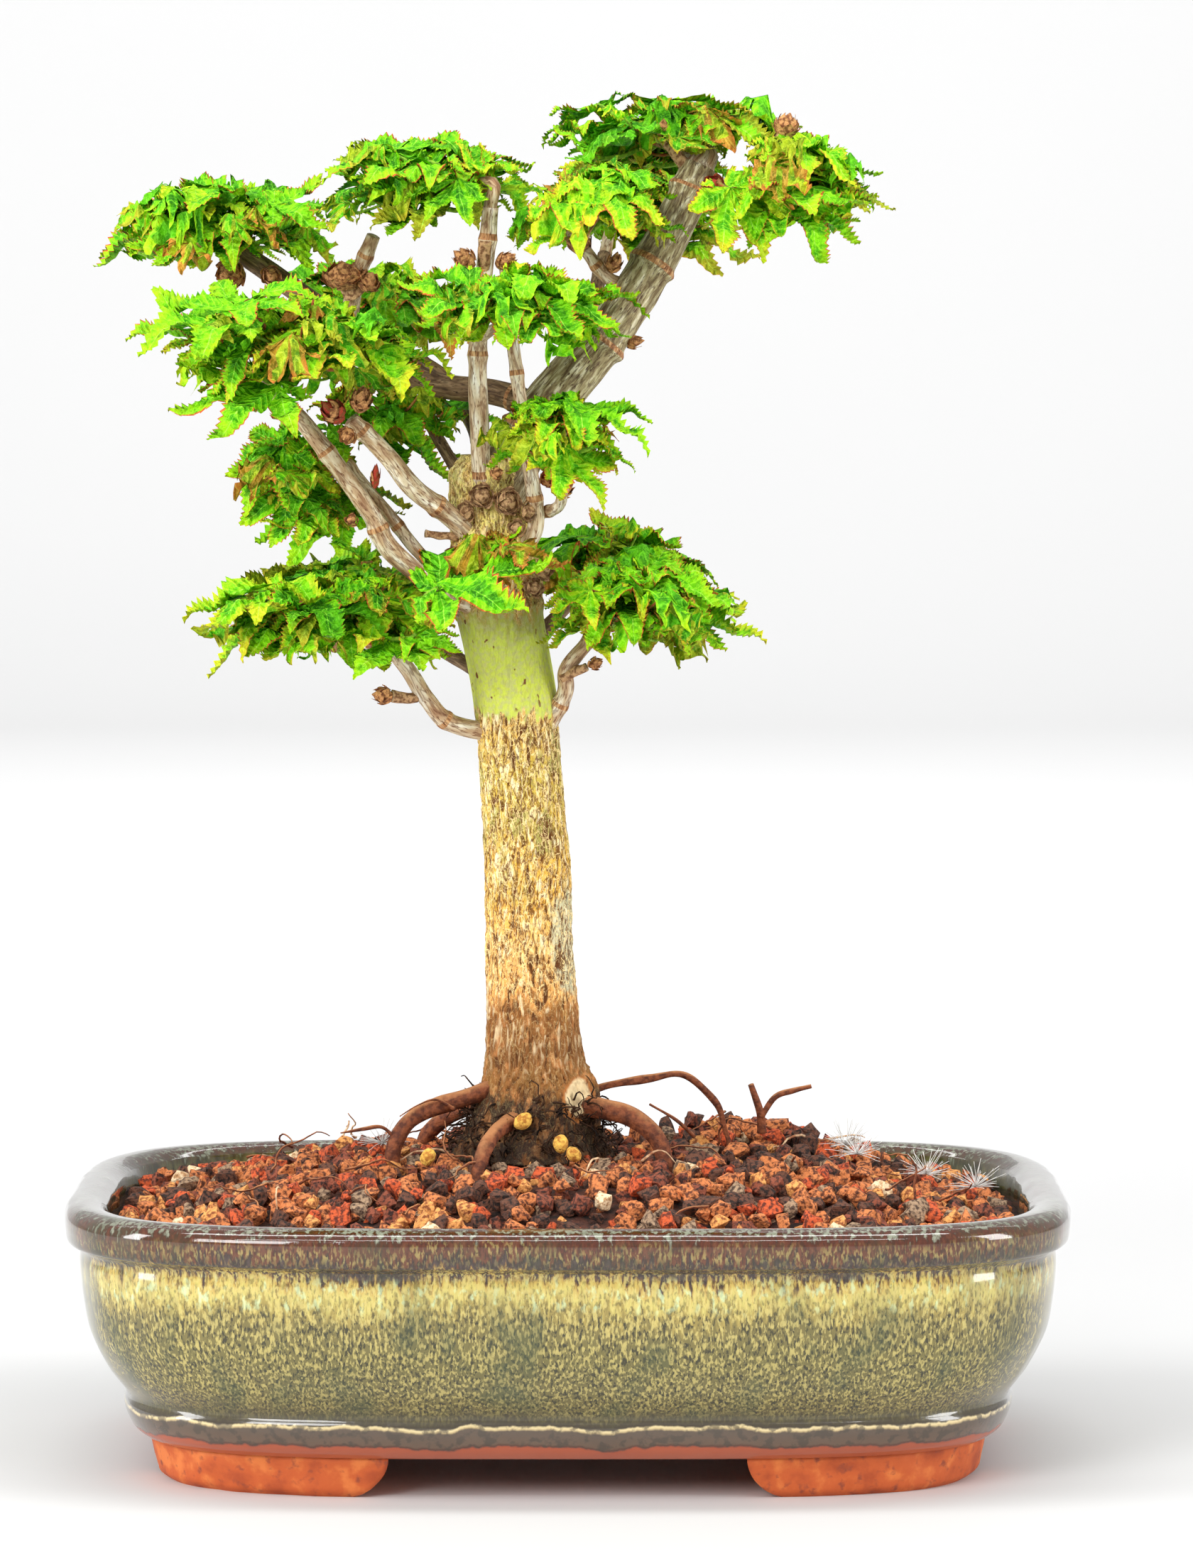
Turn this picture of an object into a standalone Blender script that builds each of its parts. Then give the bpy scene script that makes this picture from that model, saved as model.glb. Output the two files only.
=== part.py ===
"""A japanese maple bonsai in an oval glazed pot: trunk, boughs, leaf masses, soil, pot and feet.

The origin is the middle of the pot's footprint on the ground; +X is the right of the front view,
+Y is the back and +Z is up. Sizes are in metres; the tables marked "mm" are in millimetres.
"""

import math
import random

import bmesh
import bpy
import numpy as np
from mathutils import Vector
from mathutils.bvhtree import BVHTree

MM = 0.001
CLEAR = 0.0003           # gap kept between touching pieces

# Pot: a rounded oblong bowl with a rolled lip, on four corner feet
POT_LENGTH = 0.220
POT_WIDTH = 0.164
PLAN_POWER = 4.0         # 2 is an ellipse, larger is squarer
PLAN_STEPS = 32
LIP_WIDTH = 0.0095
FOOT_HEIGHT = 0.009
FOOT_PLAN = (0.0925, 0.0645)     # half length and half width over the feet
FOOT_INNER_END = (0.0378, 0.024)  # where a foot stops, along and across the pot
FOOT_END_SLOPE = 0.006
FOOT_DRAFT = 0.002
DRAIN_RADIUS = 0.007
DRAIN_OFFSET = 0.045
DRAIN_SIDES = 12
# Outer wall from underside to lip: height, inset from the pot's half length and half width (mm)
OUTER_PROFILE = ((9.0, 17.0), (11.0, 14.6), (16.5, 12.6), (18.4, 13.0), (24.8, 8.6), (32.0, 5.2),
                 (46.5, 3.2), (49.5, 3.4), (52.0, 0.6), (57.0, 0.0), (59.4, 1.8), (60.0, 5.0),
                 (57.8, 9.5))
# Inner wall from the lip to the floor, and the soil's side: the same, upwards for the soil
INNER_PROFILE = ((49.0, 10.3), (30.0, 13.0), (20.0, 21.5), (17.0, 25.5))
SOIL_SIDE_GAP = 0.0005   # kept between the soil's flat faces and the wall

# Soil: mounded from the inner wall to a level place under the trunk, with a heap behind it
GROUND = 0.066           # height of the trunk's flat cut
SOIL_EDGE = 0.0555
SOIL_LEVEL_TO = 0.42     # share of the plan that is level
SOIL_RINGS = 10
CLUMP_HEIGHT = (0.0012, 0.0024)  # how far clumps of grit stand up and lie down beside each other
CLUMP_SEED = 5
HEAP_HEIGHT = 0.0055
HEAP_CENTRE = (0.042, 0.038)
HEAP_SPREAD = (0.030, 0.017)
LOOSE_FROM_TRUNK = (0.039, 0.048)  # heap and clumps begin and are whole at these distances

# Trunk: height, lean to +X, radius (mm)
TRUNK = ((66, -9.0, 17.6), (69, -8.8, 15.8), (74, -7.8, 13.9), (81, -6.6, 12.7), (89, -7.7, 10.9),
         (105, -8.3, 10.1), (131, -9.2, 9.5), (150, -10.4, 9.3), (166, -11.6, 9.3),
         (178, -13.6, 9.4), (187, -15.4, 9.7), (193, -16.2, 10.2), (199, -16.6, 9.3),
         (206, -17.2, 8.3), (212, -17.8, 7.9), (217, -17.6, 8.3), (221, -16.8, 6.6))
TRUNK_SIDES = 16
FLARE_LOBES = 5
FLARE_DEPTH = 0.10
FLARE_HEIGHT = 26        # mm over which the lobes fade
FLARE_TURN = 0.6         # radians from +X to the first lobe

# Surface roots: points on the way out from the trunk, radius there and at the end (mm)
ROOTS = (
    (((-12, -3, 83), (-21, -6, 80), (-33, -8, 76), (-38, -10, 70), (-39, -11, 62)), 2.1, 1.5),
    (((-2, -4, 78), (8, -7, 77), (15, -9, 75), (20, -11, 70), (22, -12, 62)), 2.4, 1.7),
    (((-10, -8, 76), (-16, -19, 73), (-19, -26, 68), (-20, -29, 62)), 1.9, 1.4),
    (((-8, 8, 78), (-5, 18, 73), (-6, 26, 69), (-7, 30, 62)), 2.2, 1.5),
    (((-13, 5, 79), (-23, 14, 75), (-31, 19, 69), (-34, 21, 62)), 2.2, 1.5),
    (((0, 4, 77), (7, 8, 80), (18, 10, 82), (26, 11, 82.5), (33, 12, 76), (34.5, 12, 71)), 0.9, 0.6),
)
ROOT_SIDES = 5
LIMB_SIDES = 6
LIMB_CLEAR = CLEAR * 1.4  # a limb's flat sides lie nearer than its corners, so more is kept

# Boughs: name, what carries it, points along it, radius at foot and tip (mm)
BOUGHS = (
    ("bough_right", "trunk",
     ((-16, 0, 212), (-8, 0, 227), (7.5, 1, 246.5), (20.5, 5, 266), (29, 9, 284)), 6.4, 4.2),
    ("bough_centre_left", "trunk",
     ((-18.5, -4, 208), (-19.3, -8, 225), (-19.6, -10, 245), (-16.8, -12, 275)), 2.3, 1.8),
    ("bough_centre_right", "trunk",
     ((-13, -3, 198), (-7.2, -6.5, 205), (-8.5, -9.5, 219.5), (-11.9, -10, 244), (-14.0, -9, 264)),
     1.9, 1.3),
    ("bough_left_long", "trunk",
     ((-19, -1, 184), (-38, -8, 199.5), (-43.6, -10, 209), (-55.8, -14, 226), (-64, -16, 235)),
     2.4, 1.8),
    ("bough_left_twin", "trunk", ((-19, 3, 187), (-31.5, 0, 198), (-39.5, -2, 208), (-46, -2, 216)),
     1.6, 1.2),
    ("bough_left_front", "trunk",
     ((-20, -3, 202), (-25.5, -8, 207.5), (-33.7, -13, 214), (-39.2, -16.5, 221), (-47, -20, 229)),
     2.5, 1.9),
    ("bough_low_left", "trunk",
     ((-13, -1, 159), (-25.6, -4, 162), (-31, -7, 167.5), (-35.3, -9, 174.5), (-40, -10, 179.5),
      (-44, -10, 180.5)), 2.1, 1.4),
    ("bough_low_right", "trunk",
     ((-7, -1, 157), (-1, -4, 168), (-0.3, -6, 174), (4, -7, 179.7), (7, -8, 183)), 1.9, 1.5),
    ("bough_front_short", "trunk", ((-18, -3, 186), (-24.5, -9, 189), (-28, -13, 192)), 1.5, 1.2),
    ("bough_right_short", "trunk", ((-14, 0, 206), (-6.5, -3, 208), (-2, -10, 210), (-1, -18, 215)),
     1.5, 1.2),
    ("bough_back_short", "trunk", ((-18, 3, 207), (-25, 10, 218), (-30, 14, 226)), 1.6, 1.3),
    ("bough_back_high", "trunk", ((-17, 4, 198), (-16, 17, 212), (-24, 33, 233), (-35, 42, 242)),
     2.6, 1.8),
    ("bough_back_low", "trunk", ((-11, 2, 172), (-8, 12, 179), (0, 24, 187)), 2.0, 1.4),
    ("bough_back_low_left", "trunk", ((-13, 2, 168), (-22, 10, 174), (-36, 20, 181)), 1.9, 1.4),
    ("bough_back_left", "bough_right",
     ((-5, 2, 231), (-16, 9, 234.5), (-31.5, 13, 237), (-47.4, 16, 247.5), (-60, 18, 256.6),
      (-73, 18, 265.7)), 3.0, 2.3),
    ("bough_upper_left", "bough_back_left", ((-49, 16, 249), (-47, 13.5, 259), (-43, 10, 269)),
     2.1, 1.5),
    ("bough_right_spur", "bough_right", ((15.4, 4, 258), (9, 2, 259.5), (3.5, 0, 266)), 1.7, 1.3),
    ("bough_crown_right", "bough_right", ((27, 8, 279), (37, 6, 280), (45, 5, 281)), 2.2, 1.6),
    ("bough_back_right", "bough_right", ((0, 2, 238), (4, 14, 249), (8, 28, 265)), 2.4, 1.6),
    ("bough_front_spur", "bough_centre_left", ((-19.6, -10, 246), (-17, -14, 248), (-14, -17, 250)),
     1.2, 1.0),
)

# Leaf masses: name, bough, centre and half sizes of the mass's own space (mm), number of leaves,
# direction of the first leaf (degrees from +X), seed
MASSES = (
    ("leaves_upper_left", "bough_back_left", (-78, 17, 270), (25, 26, 13), 8, 180, 11),
    ("leaves_upper_centre", "bough_centre_left", (-29, -2, 279), (25, 27, 13), 8, 200, 12),
    ("leaves_upper_right", "bough_right_spur", (6, -13, 272), (21, 21, 13), 7, 300, 14),
    ("leaves_crown_top", "bough_right", (22, 15, 289), (29, 25, 12), 9, 90, 16),
    ("leaves_crown_right", "bough_crown_right", (48, 0, 277), (20, 25, 16), 8, 340, 17),
    ("leaves_left_front", "bough_left_long", (-57, -22, 243), (32, 25, 15), 10, 180, 18),
    ("leaves_left_hanging", "bough_left_twin", (-57, 4, 213), (18, 23, 18), 6, 170, 20),
    ("leaves_centre_front", "bough_front_spur", (-9, -29, 251), (24, 21, 12), 7, 300, 21),
    ("leaves_centre_back", "bough_back_short", (-38, 19, 228), (19, 20, 14), 5, 150, 42),
    ("leaves_right_short", "bough_right_short", (-2, -26, 222), (17, 17, 14), 6, 300, 23),
    ("leaves_low_left", "bough_low_left", (-51, -12, 183), (28, 25, 15), 8, 180, 24),
    ("leaves_trunk_front", "bough_front_short", (-19, -27, 198), (20, 15, 10), 2, 350, 25),
    ("leaves_low_right", "bough_low_right", (15, -9, 186), (24, 25, 15), 8, 0, 26),
    ("leaves_back_left", "bough_back_high", (-45, 48, 250), (26, 24, 15), 7, 160, 27),
    ("leaves_back_right", "bough_back_right", (12, 52, 275), (26, 22, 14), 7, 40, 28),
    ("leaves_back_low", "bough_back_low", (10, 37, 191), (26, 22, 14), 6, 20, 29),
    ("leaves_back_low_left", "bough_back_low_left", (-52, 35, 186), (26, 21, 14), 6, 170, 30),
)
SPACE_OVER = 1.25        # squared reach of the space that the leaf edges may fill
SPACE_APART = 0.05       # how much nearer, in squared reach, a point is to its own mass
LIMB_GAP = 0.0009        # kept between leaves or twigs and limbs they are not part of
LEAF_TRIES = 120
LEAF_LENGTH = (0.020, 0.026)
TRY_SHRINK = 0.0045      # how much shorter each new try at a leaf is
TWIG_REACH = 0.15        # where a twig ends, as a share of the mass's half sizes
TWIG_HEIGHTS = (0.6, -0.5)  # the first and the last twig's height, as a share of the half height
LEAF_SIDES = (0.0, -0.95, 0.95)  # the directions of a twig's leaves from its own
LEADER_REACH = (0.50, 0.80)  # where the middle of a twig's foremost blade lies, and of its
SIDE_REACH = (0.20, 0.75)    # other blades, as shares of the mass's half sizes
LEAF_MIDDLE = 0.40         # where that middle is along the blade
HEADING_SPREAD = 0.35
HEIGHT_SPREAD = 0.35
LEAF_TILT = (0.15, 0.55)   # how far a blade faces outward
LEAF_JITTER = 0.22
LEAF_TURN = 1.2
LEAF_DROOP = (0.06, 0.24)
LEAF_PROBES = (0.35, 0.7, 1.0)
ROOT_BELOW = -0.0005     # how far a stalk's root lies behind the blade
ROOT_SPACING = 0.25      # between the stalks' roots, as a share of the twig
CLEAR_OF_ROOT = 0.35     # share of a stalk that may touch the others of its twig
LEAF_THICKNESS = 0.0006
LEAVES_PER_TWIG = 3
STEM_SIDES = 5
STEM_SHARE = 0.92        # a stem's foot against its bough's tip
STEM_KNEE = 0.3          # share of its length over which a stem follows its bough
STALK_RADIUS = 0.0005
TWIG_RADIUS = 0.0011
TWIG_SIDES = 4
TWIG_OVER = 0.0008       # how far a twig runs past the stem's end and past its last stalk
GOLDEN_ANGLE = math.radians(137.5)
# Lobes of the leaf: angle from the middle lobe (degrees), reach as a share of the leaf's length,
# and which sides have a shoulder
LOBES = ((-88, 0.70, ()), (-43, 0.92, ()), (0, 1.0, (-1, 1)), (43, 0.92, ()), (88, 0.70, ()))
LOBE_SHOULDER = (13, 0.60)       # angle either side of the lobe's rib, share of its reach
NOTCH_REACH = 0.46               # bottom of the notch between two lobes
HEEL = (145, 0.22)               # back corners of the blade
HEART = (0.24, 0.02)             # where the lobes' ribs meet: along the blade and above it


def v3(point):
    """A table's millimetre point as a vector in metres."""
    return Vector(point) * MM


def new_material(name, colour, roughness):
    material = bpy.data.materials.new(name)
    material.use_nodes = True
    shader = material.node_tree.nodes["Principled BSDF"]
    shader.inputs["Base Color"].default_value = (*colour, 1.0)
    shader.inputs["Roughness"].default_value = roughness
    shader.inputs["Metallic"].default_value = 0.0
    return material


def new_object(name, verts, faces, material=None):
    """An object from points and faces, its faces turned outward."""
    mesh = bpy.data.meshes.new(name)
    mesh.from_pydata([tuple(v) for v in verts], [], faces)
    bm = bmesh.new()
    bm.from_mesh(mesh)
    bmesh.ops.recalc_face_normals(bm, faces=bm.faces)
    if bm.calc_volume(signed=True) < 0:
        bmesh.ops.reverse_faces(bm, faces=bm.faces)
    bm.to_mesh(mesh)
    bm.free()
    if material:
        mesh.materials.append(material)
    obj = bpy.data.objects.new(name, mesh)
    bpy.context.scene.collection.objects.link(obj)
    return obj


def ring_faces(rings, count):
    """Sides between rings of equal count, with the first and last ring closed."""
    faces = []
    for r in range(rings - 1):
        for s in range(count):
            t = (s + 1) % count
            a, b = r * count, (r + 1) * count
            faces.append((a + s, a + t, b + t, b + s))
    faces.append(tuple(reversed(range(count))))
    faces.append(tuple((rings - 1) * count + s for s in range(count)))
    return faces


def plan_ring(half_length, half_width, height):
    """Points round the pot's rounded oblong plan at one height."""
    power = 2.0 / PLAN_POWER
    ring = []
    for step in range(PLAN_STEPS):
        angle = 2 * math.pi * step / PLAN_STEPS
        c, s = math.cos(angle), math.sin(angle)
        ring.append((half_length * math.copysign(abs(c) ** power, c),
                     half_width * math.copysign(abs(s) ** power, s), height))
    return ring


def smooth_path(points, steps):
    """A Catmull-Rom curve through the points, with so many steps between each two."""
    ends = [2 * points[0] - points[1], *points, 2 * points[-1] - points[-2]]
    path = []
    for i in range(1, len(ends) - 2):
        p0, p1, p2, p3 = ends[i - 1:i + 3]
        for step in range(steps):
            t = step / steps
            path.append(0.5 * (2 * p1 + (p2 - p0) * t + (2 * p0 - 5 * p1 + 4 * p2 - p3) * t ** 2
                               + (3 * p1 - p0 - 3 * p2 + p3) * t ** 3))
    path.append(points[-1].copy())
    return path


def tube(path, radii, sides):
    """Points and faces of a closed tube whose section turns as little as it can."""
    verts = []
    side = None
    for i, point in enumerate(path):
        ahead = (path[min(i + 1, len(path) - 1)] - path[max(i - 1, 0)]).normalized()
        if side is None:
            side = ahead.orthogonal().normalized()
        side = (side - ahead * side.dot(ahead)).normalized()
        across = ahead.cross(side)
        for s in range(sides):
            angle = 2 * math.pi * s / sides
            verts.append(point + radii[i] * (math.cos(angle) * side + math.sin(angle) * across))
    return verts, ring_faces(len(path), sides)


def tapered(path, foot, tip):
    """Radii that fall evenly along a path."""
    last = len(path) - 1
    return [foot + (tip - foot) * i / last for i in range(last + 1)]


def apply_boolean(obj, operation, other, solver="EXACT"):
    """Cut or join with one object or with a collection, applied to the mesh."""
    modifier = obj.modifiers.new("join", "BOOLEAN")
    modifier.operation = operation
    modifier.solver = solver
    if isinstance(other, bpy.types.Collection):
        modifier.operand_type = "COLLECTION"
        modifier.collection = other
    else:
        modifier.object = other
    graph = bpy.context.evaluated_depsgraph_get()
    mesh = bpy.data.meshes.new_from_object(obj.evaluated_get(graph))
    obj.modifiers.clear()
    obj.data = mesh


def join_all(obj, pieces, solver="EXACT"):
    """One union of an object with all the pieces, which are then removed."""
    collection = bpy.data.collections.new("joining")
    bpy.context.scene.collection.children.link(collection)
    for piece in pieces:
        bpy.context.scene.collection.objects.unlink(piece)
        collection.objects.link(piece)
    apply_boolean(obj, "UNION", collection, solver)
    for piece in pieces:
        bpy.data.objects.remove(piece)
    bpy.data.collections.remove(collection)
    keep_one_body(obj)


def keep_one_body(obj):
    """Keep the largest closed skin: loose scraps go, and sealed hollows are filled."""
    bm = bmesh.new()
    bm.from_mesh(obj.data)
    unseen = set(bm.faces)
    skins = []
    while unseen:
        start = unseen.pop()
        skin, stack = [start], [start]
        while stack:
            for edge in stack.pop().edges:
                for face in edge.link_faces:
                    if face in unseen:
                        unseen.remove(face)
                        skin.append(face)
                        stack.append(face)
        skins.append(skin)
    skins.sort(key=lambda skin: sum(face.calc_area() for face in skin))
    for skin in skins[:-1]:
        bmesh.ops.delete(bm, geom=skin, context="FACES")
    loose = [vert for vert in bm.verts if not vert.link_faces]
    bmesh.ops.delete(bm, geom=loose, context="VERTS")
    bm.to_mesh(obj.data)
    bm.free()


def cutter(name, verts, faces):
    """A shape that only cuts others."""
    obj = new_object(name, verts, faces)
    obj.hide_render = True
    obj.display_type = "WIRE"
    return obj


def looseness(x, y):
    """0 on the level place that the trunk and its roots stand on, 1 well away from it."""
    start, whole = LOOSE_FROM_TRUNK
    away = math.hypot(x - TRUNK[0][1] * MM, y)
    return min(max((away - start) / (whole - start), 0.0), 1.0)


def soil_height(x, y):
    """Height of the soil's top at a place in the pot."""
    half_length = POT_LENGTH / 2 - LIP_WIDTH
    half_width = POT_WIDTH / 2 - LIP_WIDTH
    share = (abs(x / half_length) ** PLAN_POWER + abs(y / half_width) ** PLAN_POWER)
    share = share ** (1 / PLAN_POWER)
    fall = min(max((share - SOIL_LEVEL_TO) / (1 - SOIL_LEVEL_TO), 0.0), 1.0)
    fall = fall * fall * (3 - 2 * fall)
    heap = HEAP_HEIGHT * math.exp(-((x - HEAP_CENTRE[0]) / HEAP_SPREAD[0]) ** 2
                                  - ((y - HEAP_CENTRE[1]) / HEAP_SPREAD[1]) ** 2)
    heap *= looseness(x, y)
    level = GROUND - CLEAR
    return level + (SOIL_EDGE - level) * fall + heap * (1 - fall)


def plan_width(x, half_length, half_width):
    """Half the width of the plan at a distance x along it."""
    return half_width * (1 - (x / half_length) ** PLAN_POWER) ** (1 / PLAN_POWER)


def make_pot_bowl():
    """The bowl: an outer wall and lip, an inner wall and a flat floor with two drain holes."""
    half_length, half_width = POT_LENGTH / 2, POT_WIDTH / 2
    rings = [plan_ring(half_length - inset * MM, half_width - inset * MM, height * MM)
             for height, inset in OUTER_PROFILE + INNER_PROFILE]
    verts = [point for ring in rings for point in ring]
    bowl = new_object("pot_bowl", verts, ring_faces(len(rings), PLAN_STEPS),
                      new_material("glazed_clay", (0.18, 0.19, 0.10), 0.25))
    floor = INNER_PROFILE[-1][0] * MM
    for side in (-1, 1):
        path = [Vector((side * DRAIN_OFFSET, 0, z)) for z in (FOOT_HEIGHT / 2, floor + DRAIN_RADIUS)]
        hole = cutter("drain_cutter", *tube(path, [DRAIN_RADIUS] * 2, DRAIN_SIDES))
        apply_boolean(bowl, "DIFFERENCE", hole)
        bpy.data.objects.remove(hole)
    return bowl


def make_pot_feet():
    """Four corner feet that follow the plan, with sloping inner ends."""
    clay = new_material("bare_clay", (0.58, 0.16, 0.07), 0.75)
    top = FOOT_HEIGHT - CLEAR
    for along, side in (("left", -1), ("right", 1)):
        for across, depth in (("front", -1), ("back", 1)):
            verts = []
            for height, slope, draft in ((0.0, FOOT_END_SLOPE, FOOT_DRAFT), (top, 0.0, 0.0)):
                half_length, half_width = FOOT_PLAN[0] - draft, FOOT_PLAN[1] - draft
                inner_x = FOOT_INNER_END[0] + slope
                inner_y = FOOT_INNER_END[1] + slope
                corner = [(x, y, height) for x, y, _ in plan_ring(half_length, half_width, 0.0)
                          if x > FOOT_INNER_END[0] + FOOT_END_SLOPE
                          and y > FOOT_INNER_END[1] + FOOT_END_SLOPE]
                outline = [(plan_width(inner_y, half_width, half_length), inner_y, height), *corner,
                           (inner_x, plan_width(inner_x, half_length, half_width), height),
                           (inner_x, inner_y, height)]
                verts += [(side * x, depth * y, z) for x, y, z in outline]
            new_object(f"pot_foot_{across}_{along}", verts, ring_faces(2, len(verts) // 2), clay)


def make_soil():
    """The soil that fills the bowl, mounded up to the trunk, with its grit in clumps on top."""
    rng = random.Random(CLUMP_SEED)
    half_length = POT_LENGTH / 2 - SOIL_SIDE_GAP
    half_width = POT_WIDTH / 2 - SOIL_SIDE_GAP
    rings = []
    for height, inset in reversed(INNER_PROFILE):
        rings.append(plan_ring(half_length - inset * MM, half_width - inset * MM,
                               height * MM + CLEAR))
    edge = plan_ring(half_length - LIP_WIDTH, half_width - LIP_WIDTH, 0.0)
    for ring in range(SOIL_RINGS):
        share = 1 - ring / SOIL_RINGS
        top = []
        for step, (x, y, _) in enumerate(edge):
            x, y = x * share, y * share
            side = (-1) ** (ring + step) if ring else 0
            clump = side * rng.uniform(*CLUMP_HEIGHT) * looseness(x, y)
            top.append((x, y, soil_height(x, y) + clump))
        rings.append(top)
    verts = [point for ring in rings for point in ring]
    faces = ring_faces(len(rings), PLAN_STEPS)
    return new_object("soil", verts, faces, new_material("clay_grit", (0.19, 0.075, 0.045), 0.9))


def trunk_tube(extra):
    """The trunk's skin, grown by extra all round: lobed towards the roots."""
    verts = []
    for height, lean, radius in TRUNK:
        flare = FLARE_DEPTH * max(0.0, 1 - (height - TRUNK[0][0]) / FLARE_HEIGHT)
        for s in range(TRUNK_SIDES):
            angle = 2 * math.pi * s / TRUNK_SIDES
            reach = radius * MM * (1 + flare * math.cos(FLARE_LOBES * angle + FLARE_TURN)) + extra
            verts.append((lean * MM + reach * math.cos(angle), reach * math.sin(angle), height * MM))
    for s in range(TRUNK_SIDES):
        x, y, z = verts[s]
        verts[s] = (x, y, z - extra)
        x, y, z = verts[-1 - s]
        verts[-1 - s] = (x, y, z + extra)
    return verts, ring_faces(len(TRUNK), TRUNK_SIDES)


def make_trunk():
    """The trunk with its surface roots, cut flat at the ground."""
    bark = new_material("trunk_bark", (0.36, 0.24, 0.11), 0.85)
    trunk = new_object("trunk", *trunk_tube(0.0), bark)
    roots = []
    for points, foot, tip in ROOTS:
        path = smooth_path([v3(p) for p in points], 2)
        roots.append(new_object("root", *tube(path, tapered(path, foot * MM, tip * MM), ROOT_SIDES)))
    join_all(trunk, roots)
    far = POT_LENGTH / 2
    block = [(x, y, z) for z in (0.0, GROUND)
             for x, y in ((-far, -far), (far, -far), (far, far), (-far, far))]
    below = cutter("ground_cutter", block, ring_faces(2, 4))
    apply_boolean(trunk, "DIFFERENCE", below)
    bpy.data.objects.remove(below)
    keep_one_body(trunk)
    return trunk


def bough_path(points):
    return smooth_path([v3(p) for p in points], 2)


def make_boughs():
    """Each bough is one tapering limb, cut 0.3 mm clear of what carries it."""
    bark = new_material("bough_bark", (0.33, 0.22, 0.16), 0.8)
    skins = {"trunk": trunk_tube(LIMB_CLEAR)}
    for name, carrier, points, foot, tip in BOUGHS:
        path = bough_path(points)
        radii = tapered(path, foot * MM, tip * MM)
        grown = [radius + LIMB_CLEAR for radius in radii]
        skins[name] = tube(path, grown, LIMB_SIDES)
        bough = new_object(name, *tube(path, radii, LIMB_SIDES), bark)
        hole = cutter("carrier_cutter", *skins[carrier])
        apply_boolean(bough, "DIFFERENCE", hole)
        bpy.data.objects.remove(hole)
        keep_one_body(bough)


def segments_of(path, radii):
    """A limb as straight pieces for measuring distances: both ends and the larger radius."""
    return [(np.array(a), np.array(b), max(radii[i], radii[i + 1]))
            for i, (a, b) in enumerate(zip(path, path[1:]))]


def all_limbs():
    """The trunk's and every bough's straight pieces, by name."""
    path = [Vector((lean, 0, height)) * MM for height, lean, _ in TRUNK]
    limbs = {"trunk": segments_of(path, [radius * MM for _, _, radius in TRUNK])}
    for name, _, points, foot, tip in BOUGHS:
        path = bough_path(points)
        limbs[name] = segments_of(path, tapered(path, foot * MM, tip * MM))
    return limbs


def clear_of(points, segments):
    """True if every point is LIMB_GAP or more outside every segment."""
    for a, b, radius in segments:
        along = b - a
        t = np.clip((points - a) @ along / (along @ along), 0.0, 1.0)
        nearest = a + t[:, None] * along
        if np.min(np.linalg.norm(points - nearest, axis=1)) < radius + LIMB_GAP:
            return False
    return True


def in_own_space(points, index):
    """True if every point is inside the mass's own space and nearer to it than to another."""
    reach = [(((points - np.array(mass[2]) * MM) / (np.array(mass[3]) * MM)) ** 2).sum(axis=1)
             for mass in MASSES]
    own = reach.pop(index)
    return own.max() <= SPACE_OVER and np.all(own + SPACE_APART <= np.min(reach, axis=0))


def leaf_outline(length, droop):
    """The blade's edge in its own frame: x along the middle lobe, z across the blade."""
    shoulder_angle, shoulder_share = LOBE_SHOULDER
    polar = [(-HEEL[0], HEEL[1]), HEEL]
    for angle, reach, shoulders in LOBES:
        polar.append((angle, reach))
        polar += [(angle + side * shoulder_angle, reach * shoulder_share) for side in shoulders]
    polar += [((a[0] + b[0]) / 2, NOTCH_REACH * (a[1] + b[1]) / 2) for a, b in zip(LOBES, LOBES[1:])]
    polar.sort()
    edge = []
    for angle, reach in polar:
        a = math.radians(angle)
        edge.append((length * reach * math.cos(a), length * reach * math.sin(a),
                     -droop * length * reach ** 2))
    return edge


def place_leaf(edge, base, forward, normal):
    """The blade's edge set at its base, facing forward, in world space."""
    side = normal.cross(forward)
    return [base + x * forward + y * side + z * normal for x, y, z in edge]


def draw_leaf(rng, centre, half, heading, climb, reaches, shrink):
    """One leaf drawn by the rule: it spreads outward near the level, lower leaves tilting more."""
    azimuth = heading + rng.uniform(-HEADING_SPREAD, HEADING_SPREAD)
    reach = rng.uniform(*reaches)
    height = climb + rng.uniform(-HEIGHT_SPREAD, HEIGHT_SPREAD)
    out = Vector((math.cos(azimuth), math.sin(azimuth), 0.0))
    middle = centre + Vector((out.x * half.x * reach, out.y * half.y * reach, half.z * height))
    lean = Vector([rng.uniform(-LEAF_JITTER, LEAF_JITTER) for _ in range(3)])
    normal = (out * rng.uniform(*LEAF_TILT) * (1 - height) + Vector((0, 0, 1)) + lean).normalized()
    turn = azimuth + rng.uniform(-LEAF_TURN, LEAF_TURN)
    ahead = Vector((math.cos(turn), math.sin(turn), 0.0))
    forward = (ahead - normal * ahead.dot(normal)).normalized()
    length = rng.uniform(*LEAF_LENGTH) * shrink
    base = middle - LEAF_MIDDLE * length * forward
    return base, forward, normal, length, rng.uniform(*LEAF_DROOP)


def heel_of(leaf):
    """The back of a blade, where its stalk joins it."""
    base, forward, _, length, _ = leaf
    return base - forward * HEEL[1] * length


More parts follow.
